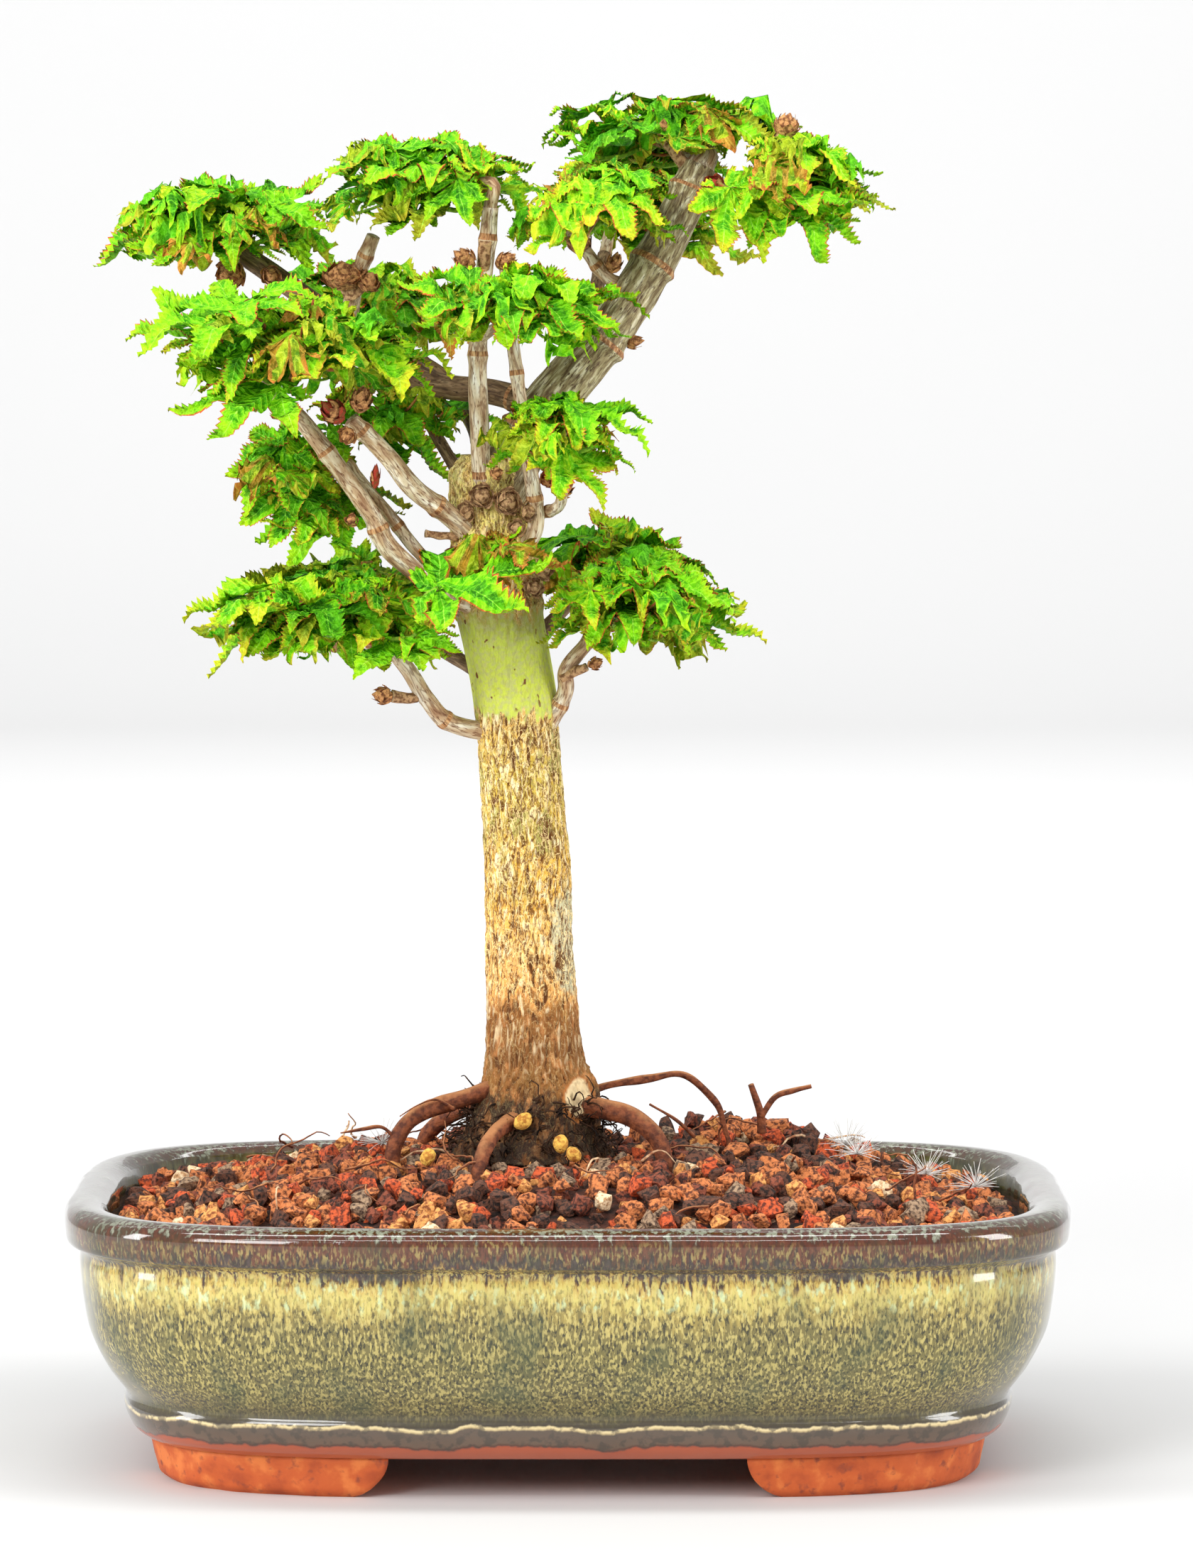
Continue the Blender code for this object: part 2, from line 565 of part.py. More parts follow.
def twig_ends(index):
    """Where the twigs of a mass end, round its stem by the golden angle and one above another."""
    _, _, centre, half, count, first, _ = MASSES[index]
    twigs = math.ceil(count / LEAVES_PER_TWIG)
    ends = []
    for t in range(twigs):
        heading = math.radians(first) + t * GOLDEN_ANGLE
        climb = TWIG_HEIGHTS[0] + (TWIG_HEIGHTS[1] - TWIG_HEIGHTS[0]) * (t + 0.5) / twigs
        reach = Vector((math.cos(heading) * half[0], math.sin(heading) * half[1], 0.0)) * TWIG_REACH
        ends.append((v3(centre) + (reach + Vector((0, 0, climb * half[2]))) * MM, heading, climb))
    return ends


def grow_mass(index, limbs):
    """Stem, twigs and leaves of one mass, worked out by the seeded rule."""
    name, bough, centre, half, count, _, seed = MASSES[index]
    rng = random.Random(seed)
    centre, half = v3(centre), v3(half)
    start, radius, direction = stem_start(bough)
    knee = start + direction * STEM_KNEE * (centre - start).length
    stem = [start, start + direction * 2 * CLEAR, *smooth_path([knee, centre], 2)]
    others = [s for limb, segments in limbs.items() if limb != name for s in segments]
    ends = [twig for twig in twig_ends(index)
            if clear_of(np.array([centre.lerp(twig[0], share) for share in LEAF_PROBES]), others)]
    others += limbs[name]
    others += [s for end, _, _ in ends for s in segments_of([centre, end], [TWIG_RADIUS] * 2)]
    twigs, placed = [], []
    for end, heading, climb in ends:
        stalks = []
        for side in LEAF_SIDES:
            if len(placed) == count:
                break
            for attempt in range(LEAF_TRIES):
                leaf = draw_leaf(rng, centre, half, heading + side, climb,
                                 SIDE_REACH if side else LEADER_REACH, 1 - TRY_SHRINK * attempt)
                base, forward, normal, length, droop = leaf
                edge = place_leaf(leaf_outline(length, droop), base, forward, normal)
                probe = np.array([tuple(base + (p - base) * share) for p in edge
                                  for share in LEAF_PROBES])
                if (end - base).dot(normal) > ROOT_BELOW or not in_own_space(probe, index):
                    continue
                root = end.lerp(centre, ROOT_SPACING * len(stalks))
                skin = leaf_skin(leaf, root.lerp(heel_of(leaf), CLEAR_OF_ROOT))
                tree = BVHTree.FromPolygons(*skin)
                if clear_of(probe, others) and not any(tree.overlap(other) for other in placed):
                    placed.append(tree)
                    stalks.append((leaf, root))
                    break
        if stalks:
            twigs.append((end, stalks))
    return stem, radius, twigs


def stem_start(bough):
    """Where a mass's stem begins: just clear of its bough's tip."""
    points, tip = next((row[2], row[4]) for row in BOUGHS if row[0] == bough)
    path = bough_path(points)
    direction = (path[-1] - path[-2]).normalized()
    return path[-1] + direction * LIMB_CLEAR, tip * MM * STEM_SHARE, direction


def leaf_skin(leaf, root):
    """A thin lobed blade, its two skins fanned from its heart, drawn out at the heel into its stalk."""
    base, forward, normal, length, droop = leaf
    edge = place_leaf(leaf_outline(length, droop), base, forward, normal)
    half = normal * LEAF_THICKNESS / 2
    heart = base + HEART[0] * length * forward + HEART[1] * length * normal
    count = len(edge)
    verts = [p + half for p in edge] + [p - half for p in edge] + [heart + half, heart - half]
    faces = [(count - 1, 0, 2 * count), (count, 2 * count - 1, 2 * count + 1)]
    for i in range(count - 1):
        faces.append((i, i + 1, 2 * count))
        faces.append((count + i + 1, count + i, 2 * count + 1))
        faces.append((i, count + i, count + i + 1, i + 1))
    ahead = (heel_of(leaf) - root).normalized()
    side = normal.cross(forward)
    side = (side - ahead * side.dot(ahead)).normalized()
    above = ahead.cross(side)
    start = len(verts)
    verts += [root + STALK_RADIUS * (a * side + b * above)
              for a, b in ((1, 1), (-1, 1), (-1, -1), (1, -1))]
    ring = [count - 1, 0, count, 2 * count - 1]
    for i in range(4):
        j = (i + 1) % 4
        faces.append((ring[i], ring[j], start + j, start + i))
    faces.append(tuple(range(start, start + 4)))
    return verts, faces


def make_masses():
    """Every mass: one stem with its twigs, stalks and leaves fused on."""
    green = new_material("maple_leaf", (0.09, 0.33, 0.03), 0.55)
    limbs = all_limbs()
    for name, bough, centre, *_ in MASSES:
        start, radius, _ = stem_start(bough)
        limbs[name] = segments_of([start, v3(centre)], [radius, radius])
    for index, row in enumerate(MASSES):
        stem, radius, twigs = grow_mass(index, limbs)
        radii = tapered(stem, radius, TWIG_RADIUS)
        mass = new_object(row[0], *tube(stem, radii, STEM_SIDES), green)
        pieces = []
        for end, stalks in twigs:
            over = (end - stem[-1]).normalized() * TWIG_OVER
            twig = [stem[-1] - over, end + over]
            pieces.append(new_object("twig", *tube(twig, [TWIG_RADIUS] * 2, TWIG_SIDES)))
            pieces += [new_object("leaf", *leaf_skin(leaf, root)) for leaf, root in stalks]
        join_all(mass, pieces, "MANIFOLD")


for old in list(bpy.data.objects):
    bpy.data.objects.remove(old)
make_pot_bowl()
make_pot_feet()
make_soil()
make_trunk()
make_boughs()
make_masses()
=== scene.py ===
import math
import random

import bmesh
import bpy
import numpy as np
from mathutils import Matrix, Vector
from mathutils.bvhtree import BVHTree


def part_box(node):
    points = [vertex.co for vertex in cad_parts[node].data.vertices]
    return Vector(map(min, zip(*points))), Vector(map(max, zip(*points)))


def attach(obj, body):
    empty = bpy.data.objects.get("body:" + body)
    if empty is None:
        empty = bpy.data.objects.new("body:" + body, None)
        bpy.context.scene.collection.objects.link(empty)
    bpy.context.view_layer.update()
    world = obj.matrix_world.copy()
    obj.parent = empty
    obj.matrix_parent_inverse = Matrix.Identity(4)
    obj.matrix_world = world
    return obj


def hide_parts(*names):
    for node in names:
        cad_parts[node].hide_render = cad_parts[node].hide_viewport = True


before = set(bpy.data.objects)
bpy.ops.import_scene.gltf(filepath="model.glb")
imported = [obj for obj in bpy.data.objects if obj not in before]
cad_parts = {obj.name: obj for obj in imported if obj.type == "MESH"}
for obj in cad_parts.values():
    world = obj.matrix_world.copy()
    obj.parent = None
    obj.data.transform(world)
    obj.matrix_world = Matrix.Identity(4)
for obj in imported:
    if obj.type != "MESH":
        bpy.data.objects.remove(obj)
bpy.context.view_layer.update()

# The glazed bowl: one rounded oblong stoneware bowl with a rolled lip, pressed in a mould,
# dipped in a running green, cream and brown glaze and fired. Its base is left bare, and two
# drain holes go through its floor.
MM = 0.001
pot_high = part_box("pot_bowl")[1]
HALF_LENGTH, HALF_WIDTH = pot_high.x, pot_high.y
PLAN_POWER = 4.0
PLAN_STEPS = 224
WALL_STEPS = 5
# height, inset from the half length and half width (mm): up the outside and over the lip
OUTSIDE = (
    (9.0, 17.0), (11.0, 14.6), (14.4, 12.9), (16.5, 12.6), (18.4, 13.0), (21.5, 10.8), (24.8, 8.6),
    (32.0, 5.2), (39.0, 3.9), (46.5, 3.2), (49.5, 3.4), (50.9, 2.6), (52.0, 0.6), (54.5, 0.1),
    (57.0, 0.0), (59.0, 1.1), (60.0, 3.6), (59.6, 6.8), (57.8, 9.3),
)
INSIDE = ((53.0, 9.9), (49.0, 10.3), (30.0, 13.0), (20.0, 21.5), (17.0, 25.5))
GLAZE_RUN = 0.00022      # how far the glaze stands up in its thick runs
GLAZE_RUN_SIZE = (0.005, 0.005, 0.014)
GLAZE_FROM, GLAZE_WHOLE = 12, 20    # heights at which the glaze begins and is whole (mm)
INNER_FACE = 0.0075      # how far in from the outside the glossy inner face begins
DRAIN_RADIUS, DRAIN_OFFSET = 0.007, 0.045
DRAIN_HEIGHT, DRAIN_DEPTH = 0.012, 0.02     # the punch's middle and length


def evenly(outline, steps):
    """So many points evenly along an outline."""
    run = np.concatenate([[0], np.cumsum(np.hypot(*np.diff(outline, axis=0).T))])
    even = np.linspace(0, run[-1], steps, endpoint=False)
    return np.stack([np.interp(even, run, outline[:, axis]) for axis in (0, 1)], -1)


def plan_ring(half_length, half_width, steps):
    """Points evenly round the pot's rounded oblong plan."""
    angle = np.linspace(0, 2 * math.pi, 4001)
    c, s = np.cos(angle), np.sin(angle)
    return evenly(np.stack([half_length * np.sign(c) * np.abs(c) ** (2 / PLAN_POWER),
                            half_width * np.sign(s) * np.abs(s) ** (2 / PLAN_POWER)], -1), steps)


def at_height(plan, height):
    """A plan's points, all at one height."""
    return np.column_stack([plan, np.full(len(plan), height)])


def inset_ring(inset, steps, height):
    """The pot's plan drawn in by some millimetres, at one height."""
    return at_height(plan_ring(HALF_LENGTH - inset * MM, HALF_WIDTH - inset * MM, steps), height)


def smooth_path(points, steps):
    """A curve through the points, with so many steps between each two."""
    ends = [2 * points[0] - points[1], *points, 2 * points[-1] - points[-2]]
    path = []
    for i in range(1, len(ends) - 2):
        p0, p1, p2, p3 = ends[i - 1:i + 3]
        for step in range(steps):
            t = step / steps
            path.append(0.5 * (2 * p1 + (p2 - p0) * t + (2 * p0 - 5 * p1 + 4 * p2 - p3) * t ** 2
                               + (3 * p1 - p0 - 3 * p2 + p3) * t ** 3))
    path.append(points[-1].copy())
    return path


# heights from -1 to 1 on the corners of a grid of cells
UNEVEN = np.random.default_rng(5).uniform(-1, 1, (32, 32, 32))


def ripple(points, lump, turn=0):
    """Smooth unevenness from -1 to 1 at each point, in lumps of this size, or of a size per axis."""
    place = points / np.asarray(lump) + 7.31 * turn + 100
    cell = np.floor(place).astype(int)
    share = place - cell
    share = share * share * (3 - 2 * share)
    height = np.zeros(len(points))
    for corner in np.ndindex(2, 2, 2):
        weight = np.prod(np.where(corner, share, 1 - share), axis=1)
        i, j, k = ((cell + corner) % 32).T
        height += weight * UNEVEN[i, j, k]
    return height


def waves(points, kinds):
    """Unevenness of several sizes in one: each has its size, height and turn."""
    return sum(ripple(points, size, turn) * height for size, height, turn in kinds)


def strip_quads(rows, across, closed=False):
    """The faces between rows of so many points, closed round where the rows are rings."""
    row = np.arange(rows - 1)[:, None] * across
    here = np.arange(across if closed else across - 1)[None, :]
    after = (here + 1) % across
    return np.stack([row + here, row + after, row + across + after, row + across + here],
                    -1).reshape(-1, 4)


def outward_from(points, middle=(0, 0, 0)):
    """The level way out from a middle at each point."""
    out = (points - middle) * (1, 1, 0)
    return out / np.linalg.norm(out, axis=1)[:, None]


def put(name, data):
    """Stands a mesh, a lamp or a camera in the scene."""
    thing = bpy.data.objects.new(name, data)
    bpy.context.scene.collection.objects.link(thing)
    return thing


class Shapes:
    """Points and faces of many shapes, gathered to be joined as one piece."""

    def __init__(self):
        self.points, self.faces, self.slots, self.count = [], [], [], 0

    def add(self, points, faces, slots=0):
        points, faces = np.asarray(points, float), np.asarray(faces, int)
        self.points.append(points)
        self.faces += (faces + self.count).tolist()
        self.slots += np.broadcast_to(slots, len(faces)).tolist()
        self.count += len(points)

    def add_tube(self, points, around, slots=0, ends=(0, 0)):
        """Rings of points joined by their sides, and closed at both ends."""
        start = self.count
        self.add(points, strip_quads(len(points) // around, around, True), slots)
        self.faces += [list(range(start, start + around))[::-1],
                       list(range(self.count - around, self.count))]
        self.slots += ends

    def join(self, name, paints, smooth=True):
        """The shapes as one mesh in the scene, painted."""
        mesh = bpy.data.meshes.new(name)
        mesh.from_pydata(np.concatenate(self.points).tolist(), [], self.faces)
        mesh.polygons.foreach_set("material_index", self.slots)
        mesh.polygons.foreach_set("use_smooth", [smooth] * len(self.faces))
        for paint in paints:
            mesh.materials.append(paint.material)
        return put(name, mesh)

    def make(self, name, paints, slot, smooth=True):
        """The shapes as one piece, which rides on the bonsai's one body."""
        piece = self.join(name, paints, smooth)
        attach(piece, "root")
        return piece


def shade(tone):
    """A share from 0 to 1 as a grey, or a colour in 0 to 255 values, as the shader takes it."""
    if isinstance(tone, (int, float)):
        return (tone, tone, tone, 1.0)
    return (*(((c / 255 + 0.055) / 1.055) ** 2.4 if c > 10 else c / 255 / 12.92 for c in tone), 1.0)


class Paint:
    """A paint mixed from nodes. Values that are the same all over stand on its shader itself."""

    def __init__(self, name, roughness, span=None, **sockets):
        self.material = bpy.data.materials.new(name)
        self.material.use_nodes = True
        self.tree = self.material.node_tree
        self.shader = self.tree.nodes["Principled BSDF"]
        self.span = span
        self.feed(self.shader, {"Roughness": roughness})
        self.feed(self.shader, {socket.replace("_", " "): value for socket, value in sockets.items()})

    def feed(self, node, inputs):
        """Each input gets a value, or a link from what feeds it."""
        for key, value in inputs.items():
            if isinstance(value, bpy.types.Node):
                value = value.outputs[0]
            if isinstance(value, bpy.types.NodeSocket):
                self.tree.links.new(value, node.inputs[key])
            else:
                node.inputs[key].default_value = value

    def node(self, kind, inputs, **settings):
        node = self.tree.nodes.new("ShaderNode" + kind)
        for setting, value in settings.items():
            setattr(node, setting, value)
        self.feed(node, inputs)
        return node

    def math(self, way, *values):
        return self.node("Math", dict(enumerate(values)), operation=way)

    def plus(self, one, other):
        return self.math("ADD", one, other)

    def times(self, value, factor, shift=0.0):
        return self.math("MULTIPLY_ADD", value, factor, shift)

    def sway(self, value, size):
        """Noise from 0 to 1 as a shift to both sides, so far in all."""
        return self.times(value, size, -size / 2)

    def ramp(self, value, low, high, to=1.0):
        """0 to 1, or to another end, as the value goes from low to high."""
        return self.node("MapRange", {"Value": value, "From Min": low, "From Max": high, "To Max": to})

    def spot(self):
        return self.node("TexCoord", {}).outputs["Object"]

    def along(self, axis, vector=None):
        return self.node("SeparateXYZ", {"Vector": vector or self.spot()}).outputs[axis]

    def place(self, tall=1, kept=None):
        """Where a point is (mm), or what the mesh keeps, with patterns drawn out tall in Z."""
        source = (self.node("Attribute", {}, attribute_name=kept).outputs["Vector"] if kept
                  else self.spot())
        return self.node("Mapping", {"Vector": source, "Scale": (1000, 1000, 1000 / tall)})

    def cloud(self, size, detail=3.0, cut=None, tall=1, kept=None):
        """Noise in patches of about this many millimetres; cut is what becomes 0 and what 1."""
        noise = self.node("TexNoise", {"Vector": self.place(tall, kept), "Scale": 1 / size,
                                       "Detail": detail})
        return self.ramp(noise, *cut) if cut else noise

    def patches(self, zone, *noise):
        """Patches of noise as far as a zone lets them."""
        return self.times(self.cloud(*noise), zone)

    def strands(self, size, width, tall=1, kept=None):
        """1 on thin winding lines about this many millimetres apart, 0 between them."""
        noise = self.node("TexNoise", {"Vector": self.place(tall, kept), "Scale": 1 / size,
                                       "Detail": 2.0, "Distortion": 0.5})
        return self.ramp(self.math("ABSOLUTE", self.plus(noise, -0.5)), width, width / 3)

    def bands(self, value, stops, smooth=False):
        """A ramp of tones along a value: each stop is a place from 0 to 1 and a tone."""
        ramp = self.node("ValToRGB", {"Fac": value})
        if smooth:
            ramp.color_ramp.interpolation = "EASE"
        elements = ramp.color_ramp.elements
        while len(elements) < len(stops):
            elements.new(0.5)
        for element, (position, _) in zip(elements, stops):
            element.position = position
        for element, (_, tone) in zip(elements, stops):
            element.color = shade(tone)
        return ramp

    def by_height(self, wander, stops):
        """Tones or shares by height (mm), with edges that wander."""
        bottom, top = self.span
        share = self.ramp(self.times(self.along("Z"), 1000.0, wander), bottom, top)
        return self.bands(share, [((z - bottom) / (top - bottom), tone) for z, tone in stops])

    def laid(self, colour, *layers):
        """Colours laid one over another, each by its share."""
        for share, over in layers:
            mix = self.node("Mix", {}, data_type="RGBA")
            self.feed(mix, {0: share, 6: shade(colour) if isinstance(colour, tuple) else colour,
                            7: shade(over) if isinstance(over, tuple) else over})
            colour = mix.outputs[2]
        return colour

    def dress(self, colour, height=None, depth=0.0002, roughness=None):
        """The colour, the bump and the roughness go to the shader."""
        self.feed(self.shader, {"Base Color": colour})
        if height:
            bump = self.node("Bump", {"Height": height, "Distance": depth, "Strength": 1.0})
            self.feed(self.shader, {"Normal": bump})
        if roughness:
            self.feed(self.shader, {"Roughness": roughness})
        return self


def make_bowl():
    """The bowl's skin, ring on ring from the underside over the lip and down inside."""
    profile = smooth_path([np.array(p) for p in OUTSIDE], WALL_STEPS) + [np.array(p) for p in INSIDE]
    points = np.concatenate([inset_ring(max(inset, 0), PLAN_STEPS, height * MM)
                             for height, inset in profile])
    glazed = np.clip((points[:, 2] / MM - GLAZE_FROM) / (GLAZE_WHOLE - GLAZE_FROM), 0, 1)
    runs = ripple(points, GLAZE_RUN_SIZE) - 1
    points += outward_from(points) * (runs * glazed * GLAZE_RUN)[:, None]
    shapes = Shapes()
    shapes.add_tube(points, PLAN_STEPS)
    return shapes


glaze = Paint("running_glaze", 0.2, (9, 61), Coat_Weight=0.8, Coat_Roughness=0.03,
              Specular_IOR_Level=0.35)
drips = glaze.cloud(1.1, tall=5)
slow_drips = glaze.cloud(14, 2, tall=1.5)
zones = glaze.by_height(glaze.plus(glaze.sway(drips, 15), glaze.sway(slow_drips, 6)), (
    (9, (74, 62, 52)), (16, (78, 70, 42)), (21, (108, 98, 54)), (31, (110, 102, 54)),
    (39, (118, 106, 56)), (42.6, (166, 146, 74)), (45.4, (204, 190, 106)), (48.2, (190, 160, 82)),
    (49.8, (104, 74, 48)), (50.8, (74, 60, 56)), (53, (58, 42, 36)), (54.2, (104, 62, 40)),
    (57.4, (84, 40, 24)), (59.4, (70, 38, 26)), (61, (136, 138, 120))))
dark_zone = glaze.by_height(glaze.sway(drips, 5), (
    (9, 0.1), (17, 0.3), (20, 0.85), (40, 0.85), (44, 0.5), (50, 0.45), (56, 0.5), (61, 0.2)))
pale_zone = glaze.by_height(glaze.sway(slow_drips, 8), (
    (9, 0), (17, 0.15), (24, 0.62), (40, 0.7), (49.5, 0.75), (51, 0.12), (53, 0.15), (54.5, 0.4),
    (56.5, 0.2), (57.6, 0)))
milky_zone = glaze.by_height(glaze.sway(drips, 5), (
    (9, 0), (41, 0), (44.5, 0.6), (48, 0.5), (50, 0), (61, 0)))
end_zone = glaze.ramp(glaze.math("ABSOLUTE", glaze.along("X")), 0.078, 0.108, 0.75)
# fine upright dashes of dark and of pale glaze, a milky blue-green where the pale run is
# thickest, green clouds, and darker runs round the two ends
body = glaze.laid(
    zones, (glaze.patches(dark_zone, 0.6, 4, (0.50, 0.41), 2.4), (34, 34, 20)),
    (glaze.patches(pale_zone, 0.55, 4, (0.50, 0.60), 3), (208, 190, 112)),
    (glaze.patches(milky_zone, 1.6, 4, (0.56, 0.66), 2), (206, 232, 186)),
    (glaze.patches(glaze.times(dark_zone, 0.6), 9, 4, (0.50, 0.68), 1.6), (58, 72, 46)),
    (glaze.patches(end_zone, 3, 4, (0.38, 0.60), 4), (62, 62, 40)))
# the glaze ends in one wavy cream line above a thin dark rim, and the clay below it is bare
base_wander = glaze.plus(glaze.sway(glaze.cloud(9, tall=6), 3.4),
                         glaze.sway(glaze.cloud(1.6, 2, tall=6), 0.8))
base_zones = glaze.by_height(base_wander, (
    (9, (176, 88, 54)), (11.5, (168, 80, 50)), (11.8, (84, 50, 38)), (12.4, (100, 80, 64)),
    (15.4, (84, 70, 58)), (15.7, (186, 164, 118)), (16.1, (222, 202, 152)), (16.5, (66, 58, 46)),
    (19, (76, 72, 54)), (61, (76, 72, 54))))
# inside the lip it is a glossy dark green
across = glaze.node("Mapping", {"Vector": glaze.spot(), "Scale": (
    1 / (HALF_LENGTH - INNER_FACE), 1 / (HALF_WIDTH - INNER_FACE), 0)})
squared = glaze.node("VectorMath", {0: across, 1: across}, operation="MULTIPLY")
fourth = glaze.node("VectorMath", {0: squared, 1: squared}, operation="DOT_PRODUCT")
high_inside = glaze.by_height(glaze.sway(drips, 4), (
    (9, 0), (46, 0), (47, 1), (57, 1), (60, 0), (61, 0)))
colour = glaze.laid(
    base_zones, (glaze.cloud(2.2, 4, (0.50, 0.60)), (66, 58, 48)),
    (glaze.by_height(base_wander, ((9, 1), (11.6, 1), (12, 0.3), (61, 0.3))), base_zones),
    (glaze.by_height(base_wander, ((9, 0), (16.6, 0), (20, 1), (61, 1))), body),
    (glaze.times(glaze.ramp(fourth.outputs["Value"], 1.0, 0.86), high_inside),
     glaze.laid((38, 52, 32), (glaze.cloud(2, 4, (0.42, 0.62), 2.4), (92, 96, 62)))))
unglazed = glaze.by_height(base_wander, (
    (9, 0.75), (11.5, 0.75), (11.9, 0.2), (50, 0.22), (55, 0.08), (61, 0.08)))
glaze.dress(colour, glaze.cloud(1.4, tall=3), 0.00006, unglazed)

bowl = make_bowl().make("glazed_bowl", [glaze], "glazed_clay")
for side in (-1, 1):
    bpy.ops.mesh.primitive_cylinder_add(vertices=32, radius=DRAIN_RADIUS, depth=DRAIN_DEPTH,
                                        location=(side * DRAIN_OFFSET, 0, DRAIN_HEIGHT))
    punch = bpy.context.object
    hole = bowl.modifiers.new("drain", "BOOLEAN")
    hole.operation = "DIFFERENCE"
    hole.object = punch
    graph = bpy.context.evaluated_depsgraph_get()
    bowl.data = bpy.data.meshes.new_from_object(bowl.evaluated_get(graph))
    bowl.modifiers.clear()
    bpy.data.objects.remove(punch)
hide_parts("pot_bowl")

# The four feet: solid corner blocks of the same clay, joined to the bowl's base before firing
# and left bare. Their inner ends are scooped, and their lower edges are worn and chipped.
FOOT_HEIGHT = 0.009
FOOT_PLAN = (0.0925, 0.0645)
FOOT_INNER_END = (0.0378, 0.024)
FOOT_END_SCOOP = 0.006
FOOT_EDGE_ROUND, FOOT_TAPER = 0.0013, 0.002
FOOT_MIDDLE = np.array((0.062, 0.042, 0))
FOOT_OVERLAP = 0.0002    # how far a foot's top goes up into the bowl's base
FOOT_WEAR = 0.0005
FOOT_WAVES = ((0.006, 0.00035, 3), (0.0022, 0.00018, 4))
FOOT_AROUND = 132
FOOT_LEVEL_SHARES = (0.0, 0.02, 0.05, 0.09, 0.14, 0.2, 0.3, 0.42, 0.55, 0.7, 0.85, 1.0)


def foot_outline(level):
    """One foot's outline at a share of its height, drawn in where the lower edge is rounded."""
    rounding = FOOT_EDGE_ROUND * max(0.0, 1 - level * 5) ** 2
    half = [size - FOOT_TAPER * (1 - level) - rounding for size in FOOT_PLAN]
    inner = [end + FOOT_END_SCOOP * (1 - level) ** 2.2 + rounding for end in FOOT_INNER_END]
    ring = plan_ring(*half, 1600)
    edge = ring[(ring[:, 0] > inner[0]) & (ring[:, 1] > inner[1])]
    corner = np.array([(inner[0], edge[-1, 1]), inner, (edge[0, 0], inner[1])])
    return evenly(np.concatenate([edge, corner, edge[:1]]), FOOT_AROUND)


bare_clay = Paint("bare_fired_clay", 0.72)
clay_tone = bare_clay.bands(bare_clay.cloud(7, 6), (
    (0.32, (162, 68, 26)), (0.50, (188, 86, 34)), (0.64, (210, 114, 52))), True)
bare_clay.dress(bare_clay.laid(clay_tone, (bare_clay.cloud(2.4, 5, (0.58, 0.72)), (136, 62, 38))),
                bare_clay.cloud(0.8, 6), 0.00008)

feet = Shapes()
for left, back in ((-1, -1), (-1, 1), (1, -1), (1, 1)):
    block = np.concatenate([
        at_height(foot_outline(level) * (left, back), level * (FOOT_HEIGHT + FOOT_OVERLAP))
        for level in FOOT_LEVEL_SHARES])
    wear = waves(block, FOOT_WAVES) - FOOT_WEAR
    block += outward_from(block, FOOT_MIDDLE * (left, back, 0)) * wear[:, None]
    block[:, 2] = np.maximum(block[:, 2], 0)
    feet.add(block, strip_quads(len(FOOT_LEVEL_SHARES), FOOT_AROUND, True))
    start, top = feet.count - len(block), feet.count - FOOT_AROUND
    feet.faces += [list(range(start, start + FOOT_AROUND)), list(range(top, top + FOOT_AROUND))]
    feet.slots += [0, 0]
pot_feet = feet.make("bare_clay_feet", [bare_clay], "bare_clay")
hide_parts("pot_foot_front_left", "pot_foot_back_left", "pot_foot_front_right",
            "pot_foot_back_right")

# The soil: a coarse mix of fired-clay grit, pumice and lava crushed to 3 to 7 mm, mounded to
# the trunk. A dark bed of dust and fines lies under the grains; its near-black tone is partly dust and
# partly painted shade, for the dark gaps between the grains.
GROUND = 0.066           # the soil's height at the trunk, and at the wall
SOIL_EDGE = 0.0555
SOIL_LEVEL_TO = 0.42     # how far out it is level, as a share of the way to the wall
LIP_WIDTH = 0.0095
CLEAR = 0.0003           # the gap between parts that only touch
BED_DEPTH, BED_UNEVEN = 0.0030, 0.0008      # the dust lies so far under the soil's height
HEAP_HEIGHT = 0.0055     # of the low heap at the back right
HEAP_CENTRE = (0.042, 0.038)
HEAP_SPREAD = (0.030, 0.017)
HEAP_FROM_TRUNK = (0.039, 0.048)
SOIL_RINGS = 40
BED_AROUND = 160
GRAIN_KINDS, GRAIN_POINTS = 14, 13
GRAIN_SIZE, GRAIN_SQUASH = (0.0022, 0.0041), (0.7, 1.0)
# the grains underneath and those on top: how many, how far sunk, how finely broken
GRAIN_LAYERS = ((1000, 0.0032, 0), (1150, 0.0011, 1))
GRAIN_SETTLE = (-0.0008, 0.0012)
GRAINS_APART = 0.0040
GRAINS_REACH = 0.965     # they lie this near to the wall, as a share of the way
TRUNK_CLEARING = 0.013   # no grain's middle is nearer to the trunk's own
FOOT_OF_TRUNK = Vector((-0.009, 0.0, GROUND))


def soil_share(x, y):
    """How far out a place is, from 0 in the middle to 1 at the wall."""
    return ((abs(x / (HALF_LENGTH - LIP_WIDTH))) ** PLAN_POWER
            + (abs(y / (HALF_WIDTH - LIP_WIDTH))) ** PLAN_POWER) ** (1 / PLAN_POWER)


def soil_height(x, y):
    """Height of the soil's top at a place in the pot."""
    fall = np.clip((soil_share(x, y) - SOIL_LEVEL_TO) / (1 - SOIL_LEVEL_TO), 0, 1)
    fall = fall * fall * (3 - 2 * fall)
    heap = HEAP_HEIGHT * np.exp(-((x - HEAP_CENTRE[0]) / HEAP_SPREAD[0]) ** 2
                                - ((y - HEAP_CENTRE[1]) / HEAP_SPREAD[1]) ** 2)
    start, whole = HEAP_FROM_TRUNK
    heap = heap * np.clip((np.hypot(x - FOOT_OF_TRUNK.x, y) - start) / (whole - start), 0, 1)
    level = GROUND - CLEAR
    return level + (SOIL_EDGE - level) * fall + heap * (1 - fall)


